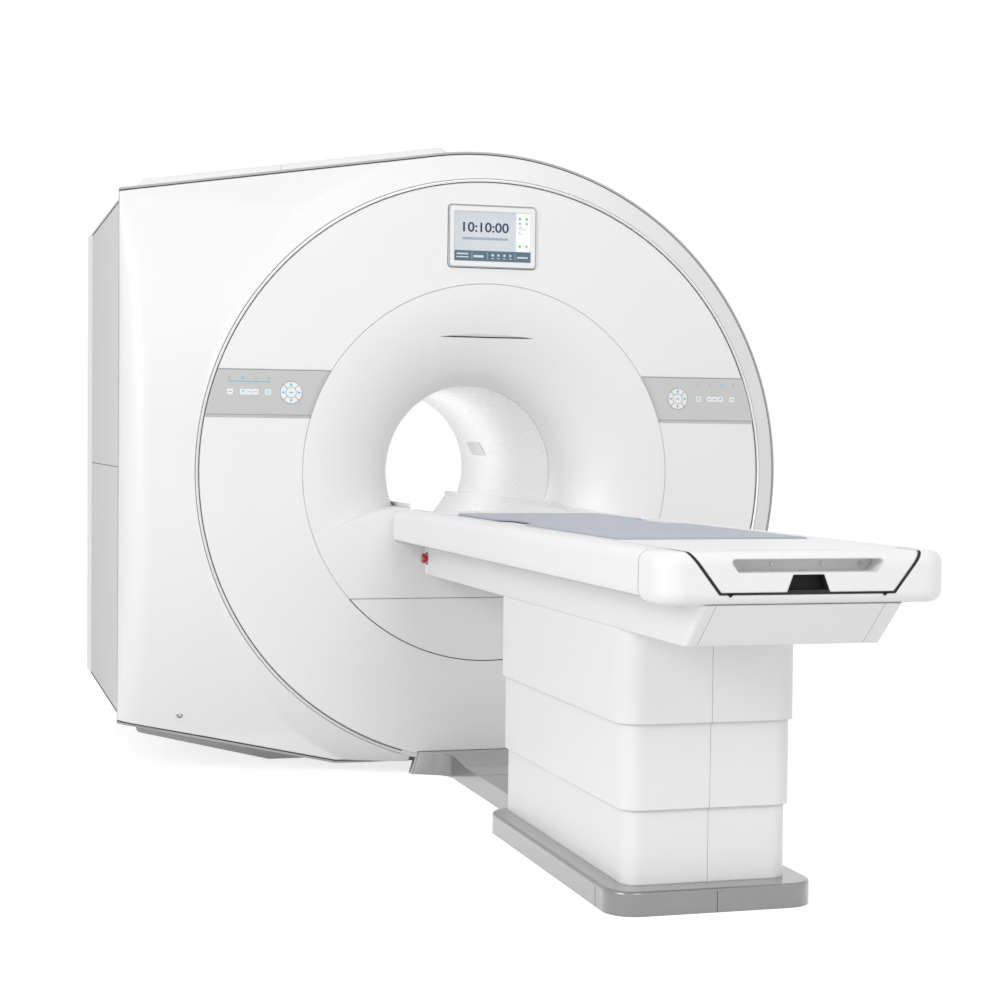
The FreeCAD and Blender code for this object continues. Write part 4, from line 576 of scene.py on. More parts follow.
class SCANNER_OT_mats(bpy.types.Operator):
    """Make both mats as filled vinyl pads with a dark band of painted shadow under their edges"""

    bl_idname = "scanner.mats"
    bl_label = "Mats"

    def execute(self, context):
        cell, swell = context.scene.scanner_sizes.mat_cell, context.scene.scanner_sizes.mat_swell
        for name in MAT_WIDTHS:
            pad = add_piece(name + "_pad", [pad_mesh(name, cell)], "mat_grey", "sliding_top", True)
            settle(pad, name, swell)
            smoothing = pad.modifiers.new("rounding", "SUBSURF")
            smoothing.levels = smoothing.render_levels = 1
            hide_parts(name)
            along, half = mat_plan(name, cell)
            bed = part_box(name)[0].z
            right = np.column_stack([half, along, np.full(len(along), bed)])
            edge = np.concatenate([right, (right * (-1, 1, 1))[::-1]])
            run = np.roll(edge, -1, axis=0) - np.roll(edge, 1, axis=0)
            outwards = np.column_stack([run[:, 1], -run[:, 0], run[:, 2]])
            outwards /= np.linalg.norm(outwards, axis=1, keepdims=True)
            path = edge - SHADOW_BAND_SET * outwards
            # The band under the edge is painted shadow, where a lifted edge would shade the bed
            sheet = bar(path, outwards, UP, width=3 * MM, height=2.4 * MM, closed=True)
            add_piece(name + "_shadow_band", [sheet], "seam", "sliding_top")
        return {"FINISHED"}


# ---------------------------------------------------------------- display and keys

MARK_DEPTH = 0.25 * MM
# The page's plain fields and marks: finish, then middle and size of each as shares of the page
PAGE = (
    ("page_bar", ((0.5, 0.895, 1.0, 0.21),)),
    ("page_pale", ((0.903, 0.393, 0.194, 0.786),)),
    ("page_green", ((0.855, 0.115, 0.028, 0.045), (0.945, 0.115, 0.028, 0.045),
                    (0.855, 0.675, 0.028, 0.045))),
    ("page_grey", ((0.40, 0.545, 0.60, 0.05), (0.855, 0.21, 0.026, 0.042), (0.945, 0.21, 0.026, 0.042),
                   (0.945, 0.675, 0.026, 0.042), (0.862, 0.29, 0.04, 0.018), (0.888, 0.33, 0.10, 0.009),
                   (0.852, 0.385, 0.02, 0.018), (0.865, 0.42, 0.05, 0.009))),
    ("page_light", ((0.105, 0.86, 0.15, 0.028), (0.105, 0.925, 0.16, 0.02), (0.228, 0.895, 0.003, 0.14),
                    (0.315, 0.905, 0.13, 0.045), (0.43, 0.895, 0.003, 0.14), (0.50, 0.875, 0.03, 0.045),
                    (0.575, 0.875, 0.026, 0.04), (0.655, 0.875, 0.028, 0.045), (0.733, 0.875, 0.022, 0.045),
                    (0.50, 0.94, 0.035, 0.012), (0.575, 0.94, 0.03, 0.012), (0.655, 0.94, 0.035, 0.012),
                    (0.733, 0.94, 0.035, 0.012), (0.795, 0.895, 0.003, 0.14), (0.895, 0.905, 0.14, 0.03))),
)
CLOCK = ((0.11, 0.415), (0.71, 0.215))
FRAME_ROUND = 12 * MM


def rounded_loop(x, z, width, tall, radius):
    """Points of a rounded rectangle and its outward directions, seven to a corner."""
    turn = np.concatenate([np.linspace(0, math.pi / 2, 7) + quarter * math.pi / 2 for quarter in range(4)])
    spoke = np.column_stack([np.cos(turn), np.sin(turn)])
    corner = np.repeat([(1, 1), (-1, 1), (-1, -1), (1, -1)], 7, axis=0)
    middle = corner * (width / 2 - radius, tall / 2 - radius) + (x, z)
    return middle + radius * spoke, spoke


def written(name, text, start, end, y, finish):
    """Words as a closed mesh that fills a rectangle, given by two (x, z) corners, on an upright face."""
    curve = bpy.data.curves.new(name, "FONT")
    curve.body = text
    curve.extrude = 0.5
    curve.offset = 0.018
    holder = bpy.data.objects.new(name + "_line", curve)
    bpy.context.scene.collection.objects.link(holder)
    mesh = bpy.data.meshes.new_from_object(holder.evaluated_get(bpy.context.evaluated_depsgraph_get()))
    bpy.data.objects.remove(holder)
    points = np.empty(3 * len(mesh.vertices))
    mesh.vertices.foreach_get("co", points)
    points = points.reshape(-1, 3)
    points = (points - points.min(axis=0)) / np.ptp(points, axis=0)
    (x0, z0), (x1, z1) = start, end
    placed = [x0 + points[:, 0] * (x1 - x0), y - MARK_DEPTH * points[:, 2], z0 + points[:, 1] * (z1 - z0)]
    mesh.vertices.foreach_set("co", np.column_stack(placed).ravel())
    face_outwards(mesh, 0.01 * MM)
    mesh.materials.clear()
    mesh.name = name
    return place_piece(name, mesh, finish, "gantry")


class SCANNER_OT_display(bpy.types.Operator):
    """Lay the clock page on the display and two lines of painted shade round its frame"""

    bl_idname = "scanner.display"
    bl_label = "Display"

    def execute(self, context):
        low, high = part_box("display_screen")
        wide, tall = high.x - low.x, high.z - low.z
        for finish, marks in PAGE:
            depth = MARK_DEPTH if finish in ("page_bar", "page_pale") else 2 * MARK_DEPTH
            parts = [plate(rectangle(low.x + u * wide, high.z - v * tall, w * wide, t * tall), low.y, depth)
                     for u, v, w, t in marks]
            add_piece("display_" + finish, parts, finish)
        start, end = [(low.x + u * wide, high.z - v * tall) for u, v in CLOCK]
        written("display_clock", "10:10:00", start, end, low.y, "page_ink")
        low, high, middle = box_of("display_bezel")
        # Both lines round the frame are painted shade: a soft one inside the frame's rim and a dark one where
        # the frame meets the disc
        for inset, y, finish in ((2.2 * MM, low.y, "soft_seam_shade"), (-1.2 * MM, FRONT_Y, "seam")):
            wide, tall = high.x - low.x - 2 * inset, high.z - low.z - 2 * inset
            loop, spoke = rounded_loop(middle.x, middle.z, wide, tall, FRAME_ROUND)
            path, across = np.insert(loop, 1, y, axis=1), np.insert(spoke, 1, 0, axis=1)
            edge = bar(path, across, FORWARD, width=2.4 * MM, height=SEAM_RISE, closed=True)
            add_piece("display_edge_" + finish, [edge], finish)
        return {"FINISHED"}


def triangle(x, z, size, angle):
    """Corners of a triangle that points in a direction given as an angle from upright."""
    turn = math.radians(angle) + np.array([0, 2.3, -2.3])
    return np.column_stack([x - size * np.sin(turn), z + size * np.cos(turn)])


def glyph(kind, x, z, y, size):
    """Parts of one printed mark round a place on an upright face."""
    if kind == "ring":
        return [hoop((x, y, z), 0.8 * size, 0.35 * size, MARK_DEPTH, count=24)]
    outlines = {
        "up": [triangle(x, z - 0.2 * size, size, 0)],
        "down": [triangle(x, z + 0.2 * size, size, 180)],
        "dash": [rectangle(x, z, 1.8 * size, 0.45 * size)],
        "bars": [rectangle(x, z + step * 0.75 * size, 1.7 * size, 0.3 * size) for step in (-1, 0, 1)],
        "lamp": [rectangle(x, z, 0.45 * size, 1.8 * size),
                 rectangle(x + 0.7 * size, z - 0.4 * size, 0.4 * size, 0.8 * size)],
    }
    return [plate(outline, y, MARK_DEPTH) for outline in outlines[kind]]


# Kind of the mark on each key
KEY_MARKS = {"inner_key": "ring", "strip_key_1": "dash", "strip_key_2": "dash", "strip_key_3": "down",
             "outer_key": "dash"}
# Marks printed over the keys: height over the bore's axis, then place across, finish and kind of each
PANEL_MARKS = {
    "left": (0.305, ((-0.881, "page_grey", "bars"), (-0.837, "mark", "ring"), (-0.794, "page_grey", "lamp"),
                     (-0.750, "page_grey", "ring"))),
    "right": (0.311, ((0.751, "page_grey", "lamp"), (0.796, "page_grey", "ring"), (0.841, "mark", "up"),
                      (0.885, "page_grey", "bars"))),
}
# The fine line on the left panel: middle across, height over the bore's axis, length and thickness
PANEL_LINE = (-0.8145, 0.294, 0.141, 2.2 * MM)
# How far from the bore's axis the shadow lines of the control panels run
PANEL_REACH = 973 * MM
# The four-way ring: both ends of its lines, its circle and its arrows, by their distance from its middle
PAD_LINES = (19 * MM, 36.6 * MM)
PAD_CIRCLE = 36 * MM
PAD_ARROWS = 26.5 * MM
PAD_KEY_RIM = 17.2 * MM


class SCANNER_OT_key_marks(bpy.types.Operator):
    """Print the small marks on the keys, the pads and the control panels"""

    bl_idname = "scanner.key_marks"
    bl_label = "Key marks"

    def execute(self, context):
        for side in ("left", "right"):
            for key, kind in KEY_MARKS.items():
                name = "%s_%s" % (side, key)
                low, _, middle = box_of(name)
                parts = glyph(kind, middle.x, middle.z, low.y, size=5.5 * MM)
                add_piece(name + "_mark", parts, "mark", name)
            self.mark_pad(side)
            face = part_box(side + "_control_panel")[0].y
            height, marks = PANEL_MARKS[side]
            for number, (x, finish, kind) in enumerate(marks, 1):
                parts = glyph(kind, x, ISO_Z + height, face, size=5 * MM)
                add_piece("%s_panel_mark_%d" % (side, number), parts, finish)
            edges = self.panel_edges(1 if side == "right" else -1, face)
            add_piece(side + "_panel_edges", edges, "soft_seam_shade")
        x, height, length, thick = PANEL_LINE
        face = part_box("left_control_panel")[0].y
        line = plate(rectangle(x, ISO_Z + height, length, thick), face, MARK_DEPTH)
        add_piece("left_panel_line", [line], "mark")
        return {"FINISHED"}

    def mark_pad(self, side):
        """Arrows and lines on the four-way ring, and the dash and the rim of the round key inside it: the
        lines, the circle and the rim are soft lines of painted shade.
        """
        ring, key = side + "_pad_ring", side + "_pad_key"
        low, _, middle = box_of(ring)
        arrows = []
        for angle in (0, 90, 180, 270):
            turn = math.radians(angle)
            x, z = middle.x - PAD_ARROWS * math.sin(turn), middle.z + PAD_ARROWS * math.cos(turn)
            arrows.append(plate(triangle(x, z, size=6 * MM, angle=angle), low.y, MARK_DEPTH))
        add_piece(side + "_pad_arrows", arrows, "mark", ring)
        place = np.array([middle.x, low.y, middle.z])
        # The lines between the ring's sectors and the circle round them are soft lines of painted shade
        lines = []
        for turn in np.radians((45, 135, 225, 315)):
            way = np.array([math.cos(turn), 0, math.sin(turn)])
            path = [place + radius * way for radius in PAD_LINES]
            lines.append(bar(path, np.cross(way, ALONG), FORWARD, width=1.6 * MM, height=MARK_DEPTH))
        lines.append(hoop(place, PAD_CIRCLE, width=1.4 * MM, height=MARK_DEPTH))
        add_piece(side + "_pad_lines", lines, "soft_seam_shade", ring)
        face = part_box(key)[0].y
        add_piece(side + "_pad_dash", glyph("dash", middle.x, middle.z, face, size=7 * MM), "mark", key)
        # The rim round the round key is a soft line of painted shade
        rim = hoop((middle.x, face, middle.z), PAD_KEY_RIM, width=1.2 * MM, height=MARK_DEPTH)
        add_piece(side + "_pad_rim", [rim], "soft_seam_shade", key)

    def panel_edges(self, side, face):
        """Fine shadow lines along a control panel's top edge and along its bevelled foot."""
        low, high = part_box("right_control_panel")
        lines = []
        for z, y, thick, across, out in ((high.z - 1 * MM, face, 2 * MM, UP, FORWARD),
                                         (low.z + 6 * MM, face + 2 * MM, 8 * MM, (0, -0.34, 0.94),
                                          (0, -0.94, -0.34))):
            ends = side * np.sqrt(np.square((MOUTH_RADIUS + 3 * MM, PANEL_REACH)) - (z - ISO_Z) ** 2)
            lines.append(bar(straight(ends, y, z), across, out, thick, LINE_RISE))
        return lines


# ---------------------------------------------------------------- seams of the housing

# Front cover: its box, the radius of its round, its left end, its back plane and its foot under the axis
SHELL_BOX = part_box("front_shell")
SHELL_RADIUS = SHELL_BOX[1].x
SHELL_LEFT = SHELL_BOX[0].x
SHELL_BACK = SHELL_BOX[1].y
SHELL_DROP = ISO_Z - SHELL_BOX[0].z
# Slopes of the wing's top and foot, the foot's drop at the left end, and half the docking frame's opening
TOP_SLOPE = math.radians(8.75)
FOOT_SLOPE = math.radians(12.1)
CORNER_DROP = 818 * MM
DOCK_REACH = 266 * MM
# Funnel: radius of its mouth, how far under the axis its lower cover begins, and the round of its bell
MOUTH_RADIUS = 636.4 * MM
LOWER_SEAM_DROP = 422 * MM
BELL_ROUND = 373.5 * MM
# Both lines of the accent ring, and how far from upright its ends are
RING_SEAM = 977.9 * MM
RING_EDGE = 987.7 * MM
RING_OPEN = math.radians(162.5)
BORE_RADIUS = 300 * MM
BORE_SEAM_END = math.radians(108)
# The slot over the bore: half its length, the height of its ends over the axis, how far its top and its foot
# arch, and the thickness of what closes it
EYEBROW_HALF = 168 * MM
EYEBROW_LEVEL = 457 * MM
EYEBROW_TOP = 9.7 * MM
EYEBROW_FOOT = 9.2 * MM
EYEBROW_THICK = 1 * MM
# Cover lock: place across and height over the bore's axis
LOCK_PLACE = (-1024 * MM, -804 * MM)


def housing_lines(grow):
    """The housing's outline grown by a distance, as two (x, z) lines: over its top, and under its wing."""
    radius = SHELL_RADIUS + grow
    foot = SHELL_BOX[0].z - grow
    turn = np.linspace(math.asin((foot - ISO_Z) / radius), math.pi / 2 + TOP_SLOPE, 120)
    arc = np.column_stack([radius * np.cos(turn), ISO_Z + radius * np.sin(turn)])
    wing_top = ISO_Z + radius / math.cos(TOP_SLOPE) + SHELL_LEFT * math.tan(TOP_SLOPE)
    wing_foot = ISO_Z - CORNER_DROP - grow / math.cos(FOOT_SLOPE)
    bend = SHELL_LEFT + (wing_foot - foot) / math.tan(FOOT_SLOPE)
    over = np.concatenate([[(DOCK_REACH, foot)], arc, [(SHELL_LEFT, wing_top)]])
    return over, np.array([(-DOCK_REACH, foot), (bend, foot), (SHELL_LEFT, wing_foot)])


class SCANNER_OT_seams(bpy.types.Operator):
    """Lay dark strips and soft lines of painted shade in the seams of the housing's covers and set the cover
    lock
    """

    bl_idname = "scanner.seams"
    bl_label = "Housing seams"

    def execute(self, context):
        width = context.scene.scanner_sizes.seam
        # The dark band behind the cover's outer edge is painted shade, where the edging shows a dark line
        edge_shade = [band(inner, outer, SHELL_BACK, SEAL_AND_SHADE_RISE)
                for inner, outer in zip(housing_lines(0.2 * MM), housing_lines(5 * MM))]
        add_piece("edge_shade_band", edge_shade, "seam")
        # The line round the funnel's mouth is dark painted shade in the seam, and the line under it a soft
        # one
        drop = math.acos(-LOWER_SEAM_DROP / MOUTH_RADIUS)
        mouth = bore_arc(MOUTH_RADIUS, drop, 2 * math.pi - drop, FRONT_Y, 1.4 * width, SEAM_RISE)
        add_piece("funnel_seams", [mouth], "seam")
        half = MOUTH_RADIUS * math.sin(drop)
        lower = straight((-half, half), FRONT_Y, ISO_Z - LOWER_SEAM_DROP)
        add_piece("lower_cover_seam", [bar(lower, UP, FORWARD, width, SEAM_RISE)], "soft_seam_shade")
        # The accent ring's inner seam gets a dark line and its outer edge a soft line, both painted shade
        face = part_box("accent_ring")[0].y
        for name, radius, thick, finish in (("ring_seam", RING_SEAM, 3.0 * MM, "seam"),
                                            ("ring_edge", RING_EDGE, 1.1 * MM, "soft_seam_shade")):
            arc = bore_arc(radius, -RING_OPEN, RING_OPEN, face, thick, HAIR_RISE, 240)
            add_piece(name, [arc], finish)
        # The line round the bore's mouth is a soft line of painted shade
        spokes = bore_spokes(np.linspace(-BORE_SEAM_END, BORE_SEAM_END, 96))
        ring = (0, BORE_BOX[0].y, ISO_Z) + BORE_RADIUS * spokes
        add_piece("bore_seam", [bar(ring, ALONG, -spokes, width, SEAL_AND_SHADE_RISE)], "soft_seam_shade")
        # Dark bands of painted shade along the side panel: in its seam, under the housing's top and over its
        # foot
        low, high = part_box("left_upper_panel")
        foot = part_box("left_lower_panel")[0].z
        levels = ((low.z - 0.4 * MM, width), (high.z - 3 * MM, 6 * MM), (foot + 3 * MM, 6 * MM))
        lines = [bar(straight(low.x, (low.y, high.y), z), UP, LEFT, thick, SEAL_AND_SHADE_RISE)
                 for z, thick in levels]
        add_piece("side_panel_seams", lines, "seam")
        x, level = LOCK_PLACE
        place = (x, SHELL_BACK - float(shell_depth(x, level)), ISO_Z + level)
        slot = plate(rectangle(x, place[2], width=6 * MM, tall=1.4 * MM), place[1], depth=0.6 * MM)
        cam = hoop(place, radius=5.5 * MM, width=4 * MM, height=1.2 * MM, count=28)
        add_piece("cover_lock", [cam, slot], "steel")
        # The dark rim round the lock's cam is painted shade
        add_piece("cover_lock_rim", [hoop(place, radius=8 * MM, width=4 * MM, height=SEAL_AND_SHADE_RISE)], "seam")
        add_piece("eyebrow_fairing", [self.eyebrow(foot=4.2 * MM, back=1.5 * MM)], "white_cover")
        # The dark strip at the back of the slot is painted shade
        add_piece("eyebrow_back", [self.eyebrow(foot=0.1 * MM, back=6 * MM)], "seam")
        return {"FINISHED"}

    def eyebrow(self, foot, back):
        """Crescent in the slot over the bore, behind the bell's skin, from a height over the slot's foot.

        The bell is the arc y = e - sqrt(e e - (m - r)(m - r)) behind its mouth, with m the mouth's radius.
        """
        x = np.linspace(-0.96, 0.96, 41) * EYEBROW_HALF
        arch = 1 - (x / EYEBROW_HALF) ** 2
        upper = EYEBROW_LEVEL + EYEBROW_TOP * arch
        lower = EYEBROW_LEVEL + np.minimum(foot, EYEBROW_FOOT * arch)
        away = MOUTH_RADIUS - np.hypot(x, (upper + lower) / 2)
        skin = FRONT_Y + BELL_ROUND - np.sqrt(BELL_ROUND ** 2 - away ** 2)
        edges = [np.column_stack([x, ISO_Z + level]) for level in (lower, upper)]
        return band(*edges, skin + back + EYEBROW_THICK, EYEBROW_THICK)


# ---------------------------------------------------------------- front cover

# Front cover: radius of the hole for the ring, full depth, wall, depth of the rim, how far the wing stays
# behind the ring, its rounded end, and the heights between which it falls away
RING_HOLE = 989.1 * MM
SHELL_DEPTH = 113 * MM
SHELL_WALL = 6 * MM
RIM_DEPTH = 8 * MM
WING_SET = 1 * MM
WING_ROUND = 92 * MM
WING_FLAT = 150 * MM
WING_END = 880 * MM
# Width of the change-over from wing to flank, and half the angle left open over the docking frame
BLEND = 14 * MM
DOCK_ANGLE = math.radians(15.5)
# Faces that meet at more than this angle keep a sharp edge between them
SHARP_ANGLE = math.radians(40)


def soft_larger(first, second, blend):
    """Larger of two values with a rounded change-over: (a + b + sqrt((a - b)(a - b) + c c)) / 2."""
    return (first + second + np.sqrt((first - second) ** 2 + blend ** 2)) / 2


def shell_reach(turn):
    """Distance from the bore's axis to the housing's outline, by the angle from straight down to the right.

    It is the least of the distances to the round, the wing's top line, its end and both foot lines.
    """
    across, up = np.sin(turn), -np.cos(turn)
    lean = math.tan(FOOT_SLOPE)
    # A line's distance from the axis, and how much nearer it comes for each metre along the ray
    lines = (
        (SHELL_DROP, -up),
        (CORNER_DROP - SHELL_LEFT * lean, -(up + across * lean)),
        (SHELL_RADIUS, up * math.cos(TOP_SLOPE) - across * math.sin(TOP_SLOPE)),
        (-SHELL_LEFT, -across),
    )
    foot, slant, top, side = [np.divide(far, nearer, out=np.full(len(turn), 10.0), where=nearer > 1e-6)
                              for far, nearer in lines]
    wing = np.minimum(np.minimum(top, side), slant)
    return np.minimum(np.where(turn > math.pi + TOP_SLOPE, wing, SHELL_RADIUS), foot)


def shell_depth(x, level):
    """Height of the front cover over its back plane: wing, flank and rim run smoothly into one another.

    The wing, left of the bore only, stands over the rim by a height times (1 - p p) (1 - 0.35 p^8), with p
    the share of the way up or down from WING_FLAT to WING_END. A quarter of an ellipse rounds it to its end.
    The flank falls in a straight line from the ring to the rim.
    """
    past = np.clip((np.abs(level) - WING_FLAT) / (WING_END - WING_FLAT), 0, 1)
    bulge = (SHELL_DEPTH - WING_SET - RIM_DEPTH) * (1 - past ** 2) * (1 - 0.35 * past ** 8) * (x < 0)
    near = np.clip((SHELL_LEFT + WING_ROUND - x) / WING_ROUND, 0, 1)
    wing = (RIM_DEPTH + bulge) * np.sqrt(np.maximum(1 - near ** 2, 0))
    away = (np.hypot(x, level) - RING_HOLE) / (SHELL_RADIUS - RING_HOLE)
    flank = SHELL_DEPTH - (SHELL_DEPTH - RIM_DEPTH) * away
    flank = np.where(away > 1, RIM_DEPTH - (away - 1) * SHELL_DEPTH, flank)
    joined = soft_larger(wing, flank, BLEND) - BLEND / 2 * np.exp(-np.abs(wing - flank) / BLEND)
    return np.clip(joined, 0, SHELL_DEPTH)


def shell_surface():
    """Front cover as one closed smooth sheet with a wall, open over the docking frame.

    Point (i, j) lies on the ray at angle t_i, a share s_j of the way from the ring to the outline.
    """
    top = SHELL_RADIUS / math.cos(TOP_SLOPE) + SHELL_LEFT * math.tan(TOP_SLOPE)
    bend = SHELL_LEFT + (SHELL_DROP - CORNER_DROP) / math.tan(FOOT_SLOPE)
    right = math.sqrt(SHELL_RADIUS ** 2 - SHELL_DROP ** 2)
    corners = [(SHELL_LEFT, top), (SHELL_LEFT, -CORNER_DROP), (bend, -SHELL_DROP), (right, -SHELL_DROP)]
    turns = [math.atan2(x, -z) % (2 * math.pi) for x, z in corners]
    turn = np.sort(np.concatenate([np.linspace(DOCK_ANGLE, 2 * math.pi - DOCK_ANGLE, 420), turns]))
    share = np.sort(np.concatenate([np.linspace(0, 1, 33) ** 1.15, [0.965, 0.985, 0.995]]))
    reach = RING_HOLE + (shell_reach(turn) - RING_HOLE)[:, None] * share
    x, level = reach * np.sin(turn)[:, None], -reach * np.cos(turn)[:, None]
    high = shell_depth(x, level)
    front, behind = [np.stack([x, SHELL_BACK - rise, ISO_Z + level], axis=-1)
                     for rise in (high, np.maximum(high - SHELL_WALL, 0))]
    points = np.concatenate([front, behind[:, ::-1]], axis=1)
    return points.reshape(-1, 3), grid_faces(len(turn), points.shape[1], False)


class SCANNER_OT_front_cover(bpy.types.Operator):
    """Lay the front cover's wing, flank and rim as one smooth moulding"""

    bl_idname = "scanner.front_cover"
    bl_label = "Front cover"

    def execute(self, context):
        cover = add_piece("front_cover", [shell_surface()], "white_cover", smooth=True)
        cover.data.set_sharp_from_angle(angle=SHARP_ANGLE)
        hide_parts("front_shell")
        return {"FINISHED"}


# ---------------------------------------------------------------- table

# Foot end of the table: its box, the round of its edges, and the lean of the sliding top's sides
CAP_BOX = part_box("foot_end_cap")
TABLE_FOOT_Y = TOP_BOX[0].y
TABLE_ROUND = 28 * MM
TABLE_HALF = CAP_BOX[1].x
TABLE_LOW = CAP_BOX[0].z
TOP_FLOOR_HALF = 200 * MM
TOP_LEAN = (TOP_BOX[1].x - TOP_FLOOR_HALF) / (TABLE_TOP - TOP_BOX[0].z)
# Gap round the sliding top, how far the strip in it lies sunk and rises, and the ends of strip and seam
CAP_GAP = 9 * MM
STRIP_SUNK = 1 * MM
STRIP_RISE = 0.6 * MM
CAP_BACK = CAP_BOX[1].y
CAP_SEAM_SET = 0.4 * MM
CAP_SEAM_END = 235 * MM
GAP_STRIP_LENGTH = 125 * MM
# Level of the gap under the sliding top's foot end, and where its two small dips are
GAP_FLOOR = TOP_BOX[0].z - 2 * MM
DIPS = (-180 * MM, 180 * MM)
# Slant at the end of the tray: its length along the bore, and both seams in it
TRAY_FALL_LENGTH = 110 * MM
TRAY_SEAMS = (-205 * MM, 190 * MM)
STOP_RING_PLACE = 238 * MM
# The notch in the middle of the top's foot end: corners across and up from its sill, and the sill's height
NOTCH = np.array([(-49, 0), (49, 0), (36, 34), (-36, 34)]) * MM
NOTCH_SILL = 4 * MM
NOTCH_DEPTH = 28 * MM
# Handle slot: its screws across, their drop from the top, and how deep its back lies
HANDLE_SCREWS = (-150 * MM, -60 * MM, 60 * MM, 150 * MM)
HANDLE_DROP = 30 * MM
HANDLE_BACK = 60 * MM
# Hairline across the sliding top: both ends, and its distance from the foot end
TOP_LINE = (-165 * MM, 100 * MM)
TOP_LINE_BACK = 65 * MM


def side_line(y, first, last):
    """Upright line round the table's right side at a place along the bore, with its outward directions.

    It runs along the top, round a quarter of TABLE_ROUND, down, round again and in under the table.
    """
    turn = np.concatenate([np.linspace(math.pi / 2, 0, 8), np.linspace(0, -math.pi / 2, 8)])
    spokes = np.column_stack([np.cos(turn), np.zeros(16), np.sin(turn)])
    level = np.repeat([TABLE_TOP - TABLE_ROUND, TABLE_LOW + TABLE_ROUND], 8)
    middle = np.column_stack(np.broadcast_arrays(TABLE_HALF - TABLE_ROUND, y, level))
    path = np.concatenate([[(first, y, TABLE_TOP)], middle + TABLE_ROUND * spokes, [(last, y, TABLE_LOW)]])
    return path, np.concatenate([spokes[:1], spokes, spokes[-1:]])


def both_sides(parts):
    """The same closed parts again, mirrored across the bore's axis."""
    return parts + [(np.asarray(points) * (-1, 1, 1), faces) for points, faces in parts]


